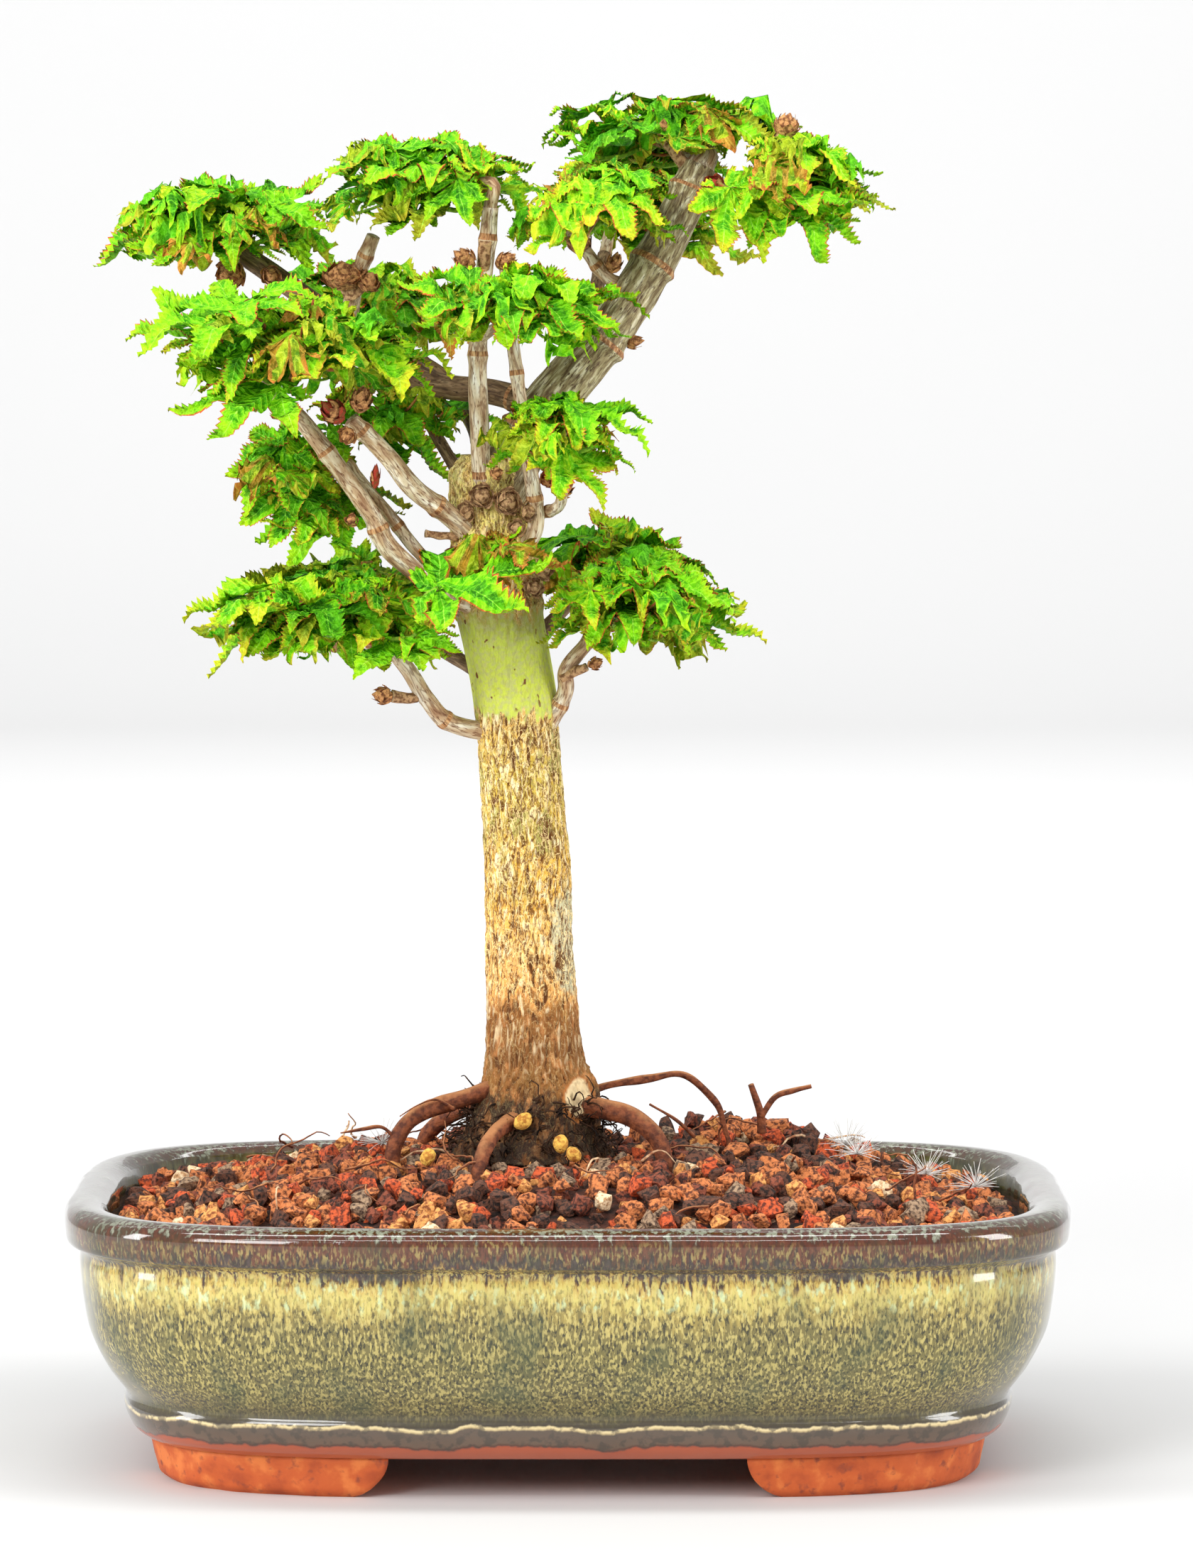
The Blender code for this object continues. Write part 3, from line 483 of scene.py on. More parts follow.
def mottled(name, roughness, size, detail, stops, bump=None, **sockets):
    """A paint of two tones in patches; bump gives a relief's size, detail and depth."""
    paint = Paint(name, roughness, **sockets)
    colour = paint.bands(paint.cloud(size, detail), stops)
    return paint.dress(colour, paint.cloud(*bump[:2]), bump[2]) if bump else paint.dress(colour)


def grain_paint(name, colour, darker):
    """One kind of crushed grain, powdery and pitted."""
    paint = Paint(name, 0.86)
    colour = paint.laid(colour, (paint.cloud(0.9, 5, (0.44, 0.60)), darker))
    return paint.dress(colour, paint.cloud(0.5, 5), 0.0005)


# name, colour, darker colour, how common it is
GRAIN_COLOURS = (("red_clay_grain", (212, 92, 46), (96, 38, 22), 14),
                 ("rust_clay_grain", (216, 130, 74), (92, 46, 26), 34),
                 ("dark_lava_grain", (104, 64, 46), (32, 20, 16), 22),
                 ("ochre_clay_grain", (238, 166, 92), (140, 78, 40), 10),
                 ("grey_stone_grain", (172, 142, 112), (74, 54, 42), 8),
                 ("pale_pumice_grain", (250, 224, 182), (184, 140, 96), 1.5),
                 ("purple_lava_grain", (142, 74, 50), (50, 24, 18), 16))

# the bed's near-black tone is partly the dust's own colour and partly painted shade for the gaps between the
# grains
dust_and_gap_shade = mottled("dark_dust_and_gap_shade", 0.95, 2, 6, ((0.35, (30, 20, 16)), (0.60, (84, 46, 32))), (0.8, 5, 0.0008))
bed = Shapes()
edge = plan_ring(HALF_LENGTH - LIP_WIDTH, HALF_WIDTH - LIP_WIDTH, BED_AROUND)
rings = [edge * (1 - ring / SOIL_RINGS) for ring in range(SOIL_RINGS)]
bed_points = np.concatenate([np.column_stack([ring, soil_height(*ring.T)]) for ring in rings])
bed_points[:, 2] += ripple(bed_points, 0.004, 2) * BED_UNEVEN - BED_DEPTH
skirt = [inset_ring(inset + 0.5, BED_AROUND, height * MM + CLEAR) for height, inset in INSIDE[::-1][:4]]
bed.add_tube(np.concatenate(skirt + [bed_points]), BED_AROUND)
soil_bed = bed.make("soil_bed", [dust_and_gap_shade], "clay_grit")
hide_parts("soil")

chance = np.random.default_rng(17)


def crushed_grain(cuts):
    """One crushed grain of radius 1: a few flat broken faces, roughened between their corners."""
    bm = bmesh.new()
    for point in chance.normal(size=(GRAIN_POINTS, 3)):
        bm.verts.new(point / np.linalg.norm(point) * chance.uniform(0.78, 1.0))
    hull = bmesh.ops.convex_hull(bm, input=bm.verts)
    bmesh.ops.delete(bm, geom=[v for v in hull["geom_interior"] if isinstance(v, bmesh.types.BMVert)],
                     context="VERTS")
    if cuts:
        bmesh.ops.subdivide_edges(bm, edges=bm.edges, cuts=cuts, use_grid_fill=True)
    bmesh.ops.triangulate(bm, faces=bm.faces)
    bm.verts.index_update()
    points = np.array([tuple(v.co) for v in bm.verts])
    faces = np.array([[v.index for v in face.verts] for face in bm.faces])
    bm.free()
    rough = 1 + 0.10 * ripple(points, 0.55, chance.integers(50)) + 0.05 * ripple(points, 0.25)
    return points * rough[:, None], faces


def random_turns(count):
    """So many random ways to lie, as turning matrices."""
    q = chance.normal(size=(count, 4))
    w, x, y, z = (q / np.linalg.norm(q, axis=1)[:, None]).T
    return np.stack([1 - 2 * (y * y + z * z), 2 * (x * y - z * w), 2 * (x * z + y * w),
                     2 * (x * y + z * w), 1 - 2 * (x * x + z * z), 2 * (y * z - x * w),
                     2 * (x * z - y * w), 2 * (y * z + x * w), 1 - 2 * (x * x + y * y)],
                    -1).reshape(-1, 3, 3)


def scatter(count, apart):
    """Places on the soil, apart from one another, less so as it fills up."""
    found = np.empty((0, 2))
    while len(found) < count:
        place = chance.uniform(-1, 1, 2) * (HALF_LENGTH - LIP_WIDTH, HALF_WIDTH - LIP_WIDTH)
        from_trunk = math.hypot(place[0] - FOOT_OF_TRUNK.x, place[1])
        if soil_share(*place) > GRAINS_REACH or from_trunk < TRUNK_CLEARING:
            continue
        if len(found) and np.min(np.sum((found - place) ** 2, axis=1)) < apart ** 2:
            apart *= 0.9995
            continue
        found = np.vstack([found, place])
    return found


grains = Shapes()
weights = np.array([row[3] for row in GRAIN_COLOURS], float)
for count, sunk, cuts in GRAIN_LAYERS:
    kinds = [crushed_grain(cuts) for _ in range(GRAIN_KINDS)]
    for place, turn in zip(scatter(count, GRAINS_APART), random_turns(count)):
        size = chance.uniform(*GRAIN_SIZE) * chance.uniform(*GRAIN_SQUASH, 3)
        points, faces = kinds[chance.integers(GRAIN_KINDS)]
        height = soil_height(*place) - sunk + chance.uniform(*GRAIN_SETTLE)
        kind = chance.choice(len(weights), p=weights / weights.sum())
        grains.add((points * size) @ turn.T + (*place, height), faces, kind)
grains.make("soil_grains", [grain_paint(*row[:3]) for row in GRAIN_COLOURS], "clay_grit", smooth=False)

# The trunk: one upright stem. Smooth green young bark above a ragged line, rough fibrous corky
# bark below it, a knobbly ring of scars where the boughs were grafted and pruned, and a foot
# that spreads into surface roots.
# height, lean to +X, radius (mm)
TRUNK = ((66, -9.0, 17.6), (69, -8.8, 15.8), (74, -7.8, 13.9), (81, -6.6, 12.7), (89, -7.7, 10.9),
         (105, -8.3, 10.1), (131, -9.2, 9.5), (150, -10.4, 9.3), (166, -11.6, 9.3),
         (178, -13.6, 9.4), (187, -15.4, 9.7), (193, -16.2, 10.2), (199, -16.6, 9.3),
         (206, -17.2, 8.3), (212, -17.8, 7.9), (217, -17.6, 8.3), (221, -16.8, 6.6))
FLARE_LOBES, FLARE_DEPTH, FLARE_HEIGHT, FLARE_TURN = 5, 0.10, 26, 0.6
TRUNK_ROWS, TRUNK_AROUND = 350, 220
BARK_LINE = 164          # mm, where the rough bark ends
BARK_LINE_WANDER = 2.5
SCAR_RING, SCAR_RING_SPREAD = 193.5, 5.0    # mm, the ring of scars
SCARS_FROM, SCARS_WHOLE = 186, 190          # mm, rough again above the smooth bark
FOOT_BARK_TO, FOOT_BARK_WHOLE = 92, 80      # mm, coarser bark at the foot
# surface roots: points on the way out from the trunk, radius at foot and tip (mm)
ROOTS = (
    (((-12, -3, 83), (-21, -6, 80), (-33, -8, 76), (-38, -10, 70), (-39, -11, 62)), 2.1, 1.5),
    (((-2, -4, 78), (8, -7, 77), (15, -9, 75), (20, -11, 70), (22, -12, 62)), 2.4, 1.7),
    (((-10, -8, 76), (-16, -19, 73), (-19, -26, 68), (-20, -29, 62)), 1.9, 1.4),
    (((-8, 8, 78), (-5, 18, 73), (-6, 26, 69), (-7, 30, 62)), 2.2, 1.5),
    (((-13, 5, 79), (-23, 14, 75), (-31, 19, 69), (-34, 21, 62)), 2.2, 1.5),
    (((0, 4, 77), (7, 8, 80), (18, 10, 82), (26, 11, 82.5), (33, 12, 76), (35, 12, 70),
      (36, 12, 66)), 0.9, 0.6),
)


def lines(points, lump, turn, width):
    """Narrow winding lines along the points, 1 on the line and 0 away from it."""
    return np.clip(1 - np.abs(ripple(points, lump, turn)) / width, 0, 1)


def trunk_skin():
    """The trunk's surface with its bark relief, ring on ring, and how raised each point is."""
    rows = np.linspace(TRUNK[0][0], TRUNK[-1][0], TRUNK_ROWS)
    curve = np.array([tuple(p) for p in smooth_path([np.array(row, float) for row in TRUNK], 6)])
    lean, radius = (np.interp(rows, curve[:, 0], curve[:, axis]) for axis in (1, 2))
    angle = np.linspace(0, 2 * math.pi, TRUNK_AROUND, endpoint=False)
    flare = FLARE_DEPTH * np.maximum(0, 1 - (rows - TRUNK[0][0]) / FLARE_HEIGHT)
    reach = radius[:, None] * (1 + flare[:, None] * np.cos(FLARE_LOBES * angle + FLARE_TURN))
    outward = np.tile(np.stack([np.cos(angle), np.sin(angle), 0 * angle], -1), (TRUNK_ROWS, 1))
    flat = outward * reach.reshape(-1, 1)
    flat[:, 0] += np.repeat(lean, TRUNK_AROUND)
    flat[:, 2] = np.repeat(rows, TRUNK_AROUND)
    height = flat[:, 2] + BARK_LINE_WANDER * ripple(flat, (2.2, 2.2, 40), 9)
    rough = np.clip((BARK_LINE - height) / 1.2, 0, 1)
    curled = flat + 0.8 * np.stack([ripple(flat, (2.6, 2.6, 4), 11), ripple(flat, (2.6, 2.6, 4), 12),
                                    ripple(flat, (2.6, 2.6, 4), 13)], -1)
    fibre = lines(curled, (1.0, 1.0, 7), 1, 0.45) + 0.8 * lines(curled, (0.7, 0.7, 3.2), 2, 0.4)
    crack = 0.8 * lines(curled, (1.3, 1.3, 9), 5, 0.20) + 0.7 * lines(curled, (0.9, 0.9, 4), 7, 0.22)
    plate = ripple(flat, (4.5, 4.5, 16), 3)
    knob = np.clip(ripple(flat, (3.4, 3.4, 3.2), 4), 0, 1)
    ring = np.exp(-((flat[:, 2] - SCAR_RING) / SCAR_RING_SPREAD) ** 2)
    above = np.clip((flat[:, 2] - SCARS_FROM) / (SCARS_WHOLE - SCARS_FROM), 0, 1)
    foot = np.clip((FOOT_BARK_TO - flat[:, 2]) / (FOOT_BARK_TO - FOOT_BARK_WHOLE), 0, 1)
    grain = 0.24 * fibre - 0.36 * crack
    relief = rough * (grain + 0.30 * plate)
    relief += ring * (1.3 * knob + 0.6 * grain) + above * (0.9 * grain + 0.9 * knob)
    relief += foot * (0.5 * plate + 0.7 * grain) + 0.05 * ripple(flat, (2, 2, 4), 6)
    flat += (relief - 0.35 * rough)[:, None] * outward
    flat[:TRUNK_AROUND, 2] = TRUNK[0][0]
    fibrous = np.maximum(rough, np.maximum(ring, 0.75 * above))
    return flat * MM, 0.5 + fibrous * grain + 0.35 * (1 - rough) * ring * knob


def rings_along(path, radii, around):
    """Rings of points round a path, turning as little as they can, with how far along each is."""
    points, grain = [], []
    side, run = None, 0.0
    angle = np.linspace(0, 2 * math.pi, around, endpoint=False)
    for i, point in enumerate(path):
        ahead = (path[min(i + 1, len(path) - 1)] - path[max(i - 1, 0)]).normalized()
        if side is None:
            side = ahead.cross(Vector((1, 0, 0)) if abs(ahead.x) < 0.7 else Vector((0, 0, 1)))
        side = (side - ahead * side.dot(ahead)).normalized()
        run += (point - path[i - 1]).length if i else 0
        ring = np.outer(np.cos(angle), side) + np.outer(np.sin(angle), ahead.cross(side))
        points.append(np.array(point) + radii[i] * ring)
        grain.append(at_height(radii[i] * np.stack([np.cos(angle), np.sin(angle)], -1), run))
    return np.concatenate(points), np.concatenate(grain)


def metres(point):
    """A place that is given in millimetres."""
    return Vector(point) * MM


def limb_path(points, steps=2):
    """The curve of a limb through places in millimetres."""
    return smooth_path([metres(p) for p in points], steps)


def eased(path, foot, tip):
    """Radii that fall evenly along a path."""
    return np.linspace(foot, tip, len(path))


def add_limb(shapes, path, radii, around, relief=0.0, lump=(0.001, 0.001, 0.006), slots=0, end=None):
    """A closed limb, its bark raised and sunk along its length; grain is kept for the paint."""
    points, grain = rings_along(path, radii, around)
    middle = np.repeat(np.array([tuple(p) for p in path]), around, axis=0)
    outward = (points - middle) / np.maximum(np.linalg.norm(points - middle, axis=1), 1e-9)[:, None]
    grain += 7 * shapes.count * MM
    uneven = ripple(grain, lump) + 0.6 * ripple(grain, (0.003, 0.003, 0.004), 5)
    points += outward * (relief * uneven)[:, None]
    slot = slots if isinstance(slots, int) else slots[-1]
    shapes.add_tube(points, around, slots, (slot, slot if end is None else end))
    return grain


def add_limbs(shapes, rows, steps, around, relief, slots):
    """A limb for each row of points along it and radius at foot and tip (mm)."""
    for points, foot, tip in rows:
        path = limb_path(points, steps)
        add_limb(shapes, path, eased(path, foot * MM, tip * MM), around, relief, slots=slots)


def patch_at(paint, centre, size, ragged):
    """1 inside a ragged oval patch round a place (mm), 0 outside it."""
    place = paint.node("Mapping", {"Vector": paint.spot(), "Scale": tuple(1000 / s for s in size),
                                   "Location": tuple(-c / s for c, s in zip(centre, size))})
    far = paint.node("VectorMath", {0: place}, operation="LENGTH").outputs["Value"]
    return paint.ramp(paint.plus(far, paint.sway(paint.cloud(2.2, 4, tall=1.6), ragged)), 1.08, 0.92)


bark = Paint("trunk_bark", 0.8, (62, 226), Specular_IOR_Level=0.25)
raised = bark.node("Attribute", {}, attribute_name="raised").outputs["Fac"]
ragged = bark.sway(bark.cloud(1.3, tall=4), 14)
# the tones from 189 mm up are lightened as painted light, to make up for the shade that the crown casts on
# the top of the trunk
zones = bark.by_height(ragged, (
    (66, (44, 30, 22)), (79, (58, 38, 26)), (83, (142, 94, 44)), (90, (128, 82, 40)),
    (99, (158, 102, 48)), (103, (250, 176, 94)), (113, (255, 194, 108)), (121, (252, 188, 74)),
    (134, (226, 178, 66)), (150, (208, 180, 68)), (160, (224, 176, 78)), (163.4, (234, 182, 104)),
    (164.2, (206, 216, 92)), (170, (218, 230, 84)), (180, (208, 222, 88)), (185, (174, 174, 84)),
    (189, (206, 158, 84)), (197, (240, 194, 108)), (205, (246, 224, 118)), (222, (242, 220, 126))))
mottle = bark.laid(zones, (bark.cloud(1.1, 5, (0.44, 0.62)), (196, 196, 140)))
mottle_zone, moss_zone, tan_zone, smooth_zone, fibre_zone, strand_zone = (
    bark.by_height(ragged, stops) for stops in (
        ((66, 0), (98, 0), (104, 0.25), (160, 0.35), (165, 0.6), (226, 0.5)),
        ((64, 0), (116, 0.1), (128, 0.6), (158, 0.8), (163, 0), (186, 0), (192, 0.5)),
        ((64, 0), (82, 0.7), (99, 0.6), (104, 0.3), (162, 0.3), (164, 0), (186, 0), (190, 0.9),
         (200, 0.7), (222, 0.5)),
        ((62, 0), (165, 0), (167, 1), (226, 1)),
        ((66, 0), (82, 0), (90, 0.35), (104, 0.9), (226, 0.9)),
        ((66, 0.05), (82, 0.15), (99, 0.35), (104, 1), (163.4, 1), (164.2, 0.12), (186, 0.15),
         (190, 0.9), (226, 0.8))))
# moss green and tan patches, one pale patch, small corky spots on the smooth bark, and painted shade that
# darkens the bark where it is sunk in its cracks
patched_with_crack_shade = bark.laid(
    zones, (mottle_zone, mottle),
    (bark.patches(moss_zone, 5, 4, (0.48, 0.60), 2), (138, 150, 84)),
    (bark.patches(tan_zone, 2.6, 4, (0.54, 0.64), 1.5), (196, 132, 76)),
    (bark.times(patch_at(bark, (3, -6, 115), (7.5, 9, 13), 0.9), 0.8), (196, 204, 172)),
    (bark.patches(smooth_zone, 1.7, 1, (0.715, 0.75), 1.4), (120, 72, 40)),
    (bark.ramp(raised, 0.50, 0.30), (98, 58, 26)))
# painted highlight that pales the raised fibres, dark and pale strands, and the rim and face of a cut root
# at the foot
fibre_highlight = bark.laid(patched_with_crack_shade, (fibre_zone, (255, 236, 190)))
colour = bark.laid(
    patched_with_crack_shade, (bark.ramp(raised, 0.66, 0.82), fibre_highlight), *(
        (bark.times(bark.strands(size, width, tall), bark.times(strand_zone, share)), tone)
        for size, tall, width, tone, share in (
            (1.5, 3.4, 0.050, (92, 48, 14), 0.85), (0.9, 2.0, 0.045, (116, 66, 20), 0.65),
            (1.4, 2.6, 0.026, (255, 226, 158), 0.8), (0.9, 1.6, 0.020, (255, 226, 158), 0.6))),
    (patch_at(bark, (2.8, -10, 79.5), (4.2, 9, 5.4), 0.6), (176, 112, 58)),
    (patch_at(bark, (2.4, -10, 80), (2.9, 9, 4.2), 0.5), (228, 204, 158)))
bark.dress(colour, bark.cloud(0.6, 6, tall=4), 0.0004)

# the surface roots: reddish wood, painted paler on their upward-facing side as painted light from above
root_bark = Paint("root_bark", 0.7, Specular_IOR_Level=0.3)
upward = root_bark.along("Z", root_bark.node("NewGeometry", {}).outputs["Normal"])
painted_light_on_top = root_bark.ramp(root_bark.plus(upward, root_bark.sway(root_bark.cloud(2, 4), 0.9)), 0.45, 0.95)
root_bark.dress(root_bark.laid((84, 42, 26), (root_bark.cloud(1.5, 5, (0.40, 0.60)), (134, 74, 44)),
                               (painted_light_on_top, (182, 124, 80))), root_bark.cloud(0.6, 5), 0.0003)

trunk_shapes = Shapes()
skin, raised_by = trunk_skin()
trunk_shapes.add_tube(skin, TRUNK_AROUND)
add_limbs(trunk_shapes, ROOTS, 12, 20, 0.0003, 1)
trunk = trunk_shapes.make("trunk_with_roots", [bark, root_bark], "trunk_bark")
layer = trunk.data.attributes.new("raised", "FLOAT", "POINT")
layer.data.foreach_set("value", np.concatenate(
    [raised_by, np.full(trunk_shapes.count - len(skin), 0.5)]).astype(np.float32))
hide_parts("trunk")

# The fine roots: a mat of dark root hair round the trunk's foot, and loose rootlets, some
# forked, that lie in and arch over the grit.
MAT_HAIRS, LOOSE_ROOTLETS = 420, 46
MAT_HEIGHT = 0.09        # as a share of the trunk's rows
HAIR_RADII, ROOTLET_RADII = (0.00024, 0.00010), (0.00032, 0.00012)      # at foot and tip
HAIR_STEP, ROOTLET_STEP = 0.0009, 0.0011
PALE_ROOTLETS = 0.35     # the share of rootlets that are pale
dark_hair = mottled("dark_root_hair", 0.9, 2.5, 3, ((0.36, (26, 18, 14)), (0.58, (70, 46, 30))),
                    Specular_IOR_Level=0.2)
pale_hair = mottled("pale_rootlet", 0.75, 2.5, 3, ((0.36, (150, 92, 56)), (0.60, (222, 190, 150))))
# loose pieces: points (mm), radius at foot and tip
FORKED_ROOTS = (
    (((43, 8, 70), (42.6, 7, 75), (40.5, 6, 81)), 1.0, 0.6),
    (((42.8, 7, 73.5), (46, 7, 78), (50, 7, 79.5), (54, 7, 80.5)), 0.8, 0.5),
    (((-38, -10, 71), (-41, -11, 73.5), (-45, -12, 73.2), (-50, -12.5, 72.4)), 0.55, 0.25),
    (((-25, -9, 77.2), (-29, -10, 79.5), (-33, -11, 78.4), (-37, -12, 76.0)), 0.5, 0.25),
    (((28, 9, 69), (24, 6, 73), (18, 4, 76.8)), 0.5, 0.3),
)


def wander_path(dice, start, ahead, steps, step, turn, sag):
    """A hair's path that turns a little at every step."""
    path = [start]
    for _ in range(steps):
        ahead = (ahead + Vector([dice.gauss(0, turn) for _ in range(3)]) - Vector((0, 0, sag))).normalized()
        path.append(path[-1] + ahead * step)
    return path


dice = random.Random(31)
hairs = Shapes()
for _ in range(MAT_HAIRS):
    angle = dice.uniform(0, 2 * math.pi)
    row = min(TRUNK_ROWS - 1, int(TRUNK_ROWS * dice.uniform(0, MAT_HEIGHT)))
    start = Vector(skin[row * TRUNK_AROUND + int(angle / 2 / math.pi * TRUNK_AROUND)])
    out = Vector((math.cos(angle), math.sin(angle), dice.uniform(-0.3, 0.5)))
    path = wander_path(dice, start + out * dice.uniform(-0.0006, 0.0004), out * 0.4 + Vector(
        (math.sin(angle), -math.cos(angle), 0)) * dice.choice((-1, 1)), 9, HAIR_STEP, 0.45, 0.12)
    path = [Vector((p.x, p.y, max(p.z, GROUND - 0.002))) for p in path]
    add_limb(hairs, path, eased(path, *HAIR_RADII), 4)
for _ in range(LOOSE_ROOTLETS):
    place = Vector((dice.uniform(-0.075, 0.09), dice.uniform(-0.06, 0.06), 0))
    place.z = float(soil_height(place.x, place.y)) + 0.0018
    turn = dice.uniform(0, 2 * math.pi)
    path = wander_path(dice, place, Vector((math.cos(turn), math.sin(turn), 0.25)),
                       dice.randint(9, 18), ROOTLET_STEP, 0.22, 0.04)
    path = [Vector((p.x, p.y, max(p.z, float(soil_height(p.x, p.y)) + 0.0004))) for p in path]
    if max(soil_share(p.x, p.y) for p in path) < 0.95:
        add_limb(hairs, path, eased(path, *ROOTLET_RADII), 5,
                 slots=1 if dice.random() < PALE_ROOTLETS else 2)
add_limbs(hairs, FORKED_ROOTS, 8, 10, 0.0002, 2)
hairs.make("fine_roots", [dark_hair, pale_hair, root_bark], "trunk_bark")

# On the soil lie a few pressed feed pellets, and seed down blown in: tufts of white hair.
# pellets: places; tufts: places along and across, height over the soil (mm)
PELLETS = ((-9.9, -16.2, 75.4), (-1.6, -19, 70.8), (1.4, -22.5, 69.2), (-30.5, -22, 68.2))
DOWN_TUFTS = ((64, 2, 2.2), (62, 16, 1.6), (79, -6, 2.6), (90, -4, 1.8), (-41, -6, 2.4))
TUFT_HAIRS, TUFT_STEP, DOWN_RADII = 46, (0.0008, 0.0015), (0.00010, 0.00005)
PELLET_SIZE = (0.0024, 0.0019, 0.0018)
pellet_paint = grain_paint("yellow_feed_pellet", (240, 190, 84), (184, 120, 44))
pellets = Shapes()
for place in PELLETS:
    points, faces = crushed_grain(2)
    rounded = points / np.linalg.norm(points, axis=1)[:, None] * 0.8 + points * 0.22
    pellets.add(rounded * PELLET_SIZE @ random_turns(1)[0].T + metres(place), faces)
pellets.make("feed_pellets", [pellet_paint], "clay_grit")
down_paint = mottled("white_seed_down", 0.6, 1, 3, ((0.3, (206, 202, 196)), (0.7, (240, 238, 234))),
                     Sheen_Weight=0.3)
down = Shapes()
for x, y, height in DOWN_TUFTS:
    heart = Vector((x * MM, y * MM, float(soil_height(x * MM, y * MM)) + (height + 1.2) * MM))
    for _ in range(TUFT_HAIRS):
        ahead = Vector([dice.gauss(0, 1) for _ in range(3)]).normalized()
        ahead.z = abs(ahead.z) * 0.8
        path = wander_path(dice, heart, ahead, 5, dice.uniform(*TUFT_STEP), 0.08, 0.02)
        add_limb(down, path, eased(path, *DOWN_RADII), 3)
down.make("seed_down", [down_paint], "clay_grit")

# The boughs: each one tapering limb of grey-brown young wood, with a ring at every pair of
# buds. The large right bough has older bark, dashed along its length.
# name, points along it, radius at foot and tip (mm)
BOUGHS = (
    ("bough_right", ((-16, 0, 212), (-8, 0, 227), (7.5, 1, 246.5), (20.5, 5, 266), (29, 9, 284)), 6.4,
     4.2),
    ("bough_centre_left", ((-18.5, -4, 208), (-19.3, -8, 225), (-19.6, -10, 245), (-16.8, -12, 275)),
     2.3, 1.8),
    ("bough_centre_right", ((-13, -3, 198), (-7.2, -6.5, 205), (-8.5, -9.5, 219.5), (-11.9, -10, 244),
      (-14.0, -9, 264)), 1.9, 1.3),
    ("bough_left_long", ((-19, -1, 184), (-38, -8, 199.5), (-43.6, -10, 209), (-55.8, -14, 226),
      (-64, -16, 235)), 2.4, 1.8),
    ("bough_left_twin", ((-19, 3, 187), (-31.5, 0, 198), (-39.5, -2, 208), (-46, -2, 216)), 1.6, 1.2),
    ("bough_left_front", ((-20, -3, 202), (-25.5, -8, 207.5), (-33.7, -13, 214), (-39.2, -16.5, 221),
      (-47, -20, 229)), 2.5, 1.9),
    ("bough_low_left", ((-13, -1, 159), (-25.6, -4, 162), (-31, -7, 167.5), (-35.3, -9, 174.5),
      (-40, -10, 179.5), (-44, -10, 180.5)), 2.1, 1.4),
    ("bough_low_right", ((-7, -1, 157), (-1, -4, 168), (-0.3, -6, 174), (4, -7, 179.7), (7, -8, 183)),
     1.9, 1.5),
    ("bough_front_short", ((-18, -3, 186), (-24.5, -9, 189), (-28, -13, 192)), 1.5, 1.2),
    ("bough_right_short", ((-14, 0, 206), (-6.5, -3, 208), (-2, -10, 210), (-1, -18, 215)), 1.5, 1.2),
    ("bough_back_short", ((-18, 3, 207), (-25, 10, 218), (-30, 14, 226)), 1.6, 1.3),
    ("bough_back_high", ((-17, 4, 198), (-16, 17, 212), (-24, 33, 233), (-35, 42, 242)), 2.6, 1.8),
    ("bough_back_low", ((-11, 2, 172), (-8, 12, 179), (0, 24, 187)), 2.0, 1.4),
    ("bough_back_low_left", ((-13, 2, 168), (-22, 10, 174), (-36, 20, 181)), 1.9, 1.4),
    ("bough_back_left", ((-5, 2, 231), (-16, 9, 234.5), (-31.5, 13, 237), (-47.4, 16, 247.5),
      (-60, 18, 256.6), (-73, 18, 265.7)), 3.0, 2.3),
    ("bough_upper_left", ((-49, 16, 249), (-47, 13.5, 259), (-43, 10, 269)), 2.1, 1.5),
    ("bough_right_spur", ((15.4, 4, 258), (9, 2, 259.5), (3.5, 0, 266)), 1.7, 1.3),
    ("bough_crown_right", ((27, 8, 279), (37, 6, 280), (45, 5, 281)), 2.2, 1.6),
    ("bough_back_right", ((0, 2, 238), (4, 14, 249), (8, 28, 265)), 2.4, 1.6),
    ("bough_front_spur", ((-19.6, -10, 246), (-17, -14, 248), (-14, -17, 250)), 1.2, 1.0),
)
BUD_SPACING, BUD_SWELL, BUD_RING_WIDTH = 0.019, 0.16, 0.0011
LARGE_FOOT = 4           # mm, from this radius a bough is large and has old bark
SCAR_REACH = 0.0006      # how far the scar's colour reaches along from a bud's ring


def bark_of(name, stops, crack, lump, roughness=0.7):
    """Bark of a limb: tones in patches along it, and fine cracks, by the grain kept on the mesh."""
    paint = Paint(name, roughness, Specular_IOR_Level=0.35)
    tones = paint.bands(paint.cloud(lump, 5, tall=4, kept="grain"), stops, True)
    dashes = paint.times(paint.strands(1.4, 0.05, 5, "grain"), 0.6)
    colour = paint.laid(tones, (dashes, crack),
                        (paint.cloud(0.4, 3, (0.42, 0.32), 4, "grain"), crack))
    return paint.dress(colour, paint.cloud(0.5, 5, tall=4, kept="grain"), 0.0003)


def keep_grain(piece, grain):
    """How far round and along a limb each point is goes with the mesh, for its paint."""
    layer = piece.data.attributes.new("grain", "FLOAT_VECTOR", "POINT")
    layer.data.foreach_set("vector", np.concatenate(grain).astype(np.float32).ravel())


old_wood = bark_of("dashed_old_bark", (
    (0.34, (118, 98, 66)), (0.46, (156, 140, 100)), (0.56, (188, 176, 136)),
    (0.66, (226, 216, 186))), (84, 60, 42), 1.1)
young_wood = bark_of("young_bark", (
    (0.32, (158, 118, 84)), (0.45, (196, 164, 126)), (0.57, (224, 206, 174)),
    (0.70, (250, 242, 224))), (118, 76, 50), 1.6, 0.6)
scar_wood = bark_of("bud_scar_wood", (
    (0.34, (142, 92, 54)), (0.50, (186, 132, 84)), (0.66, (222, 180, 130))), (96, 56, 34), 0.8)
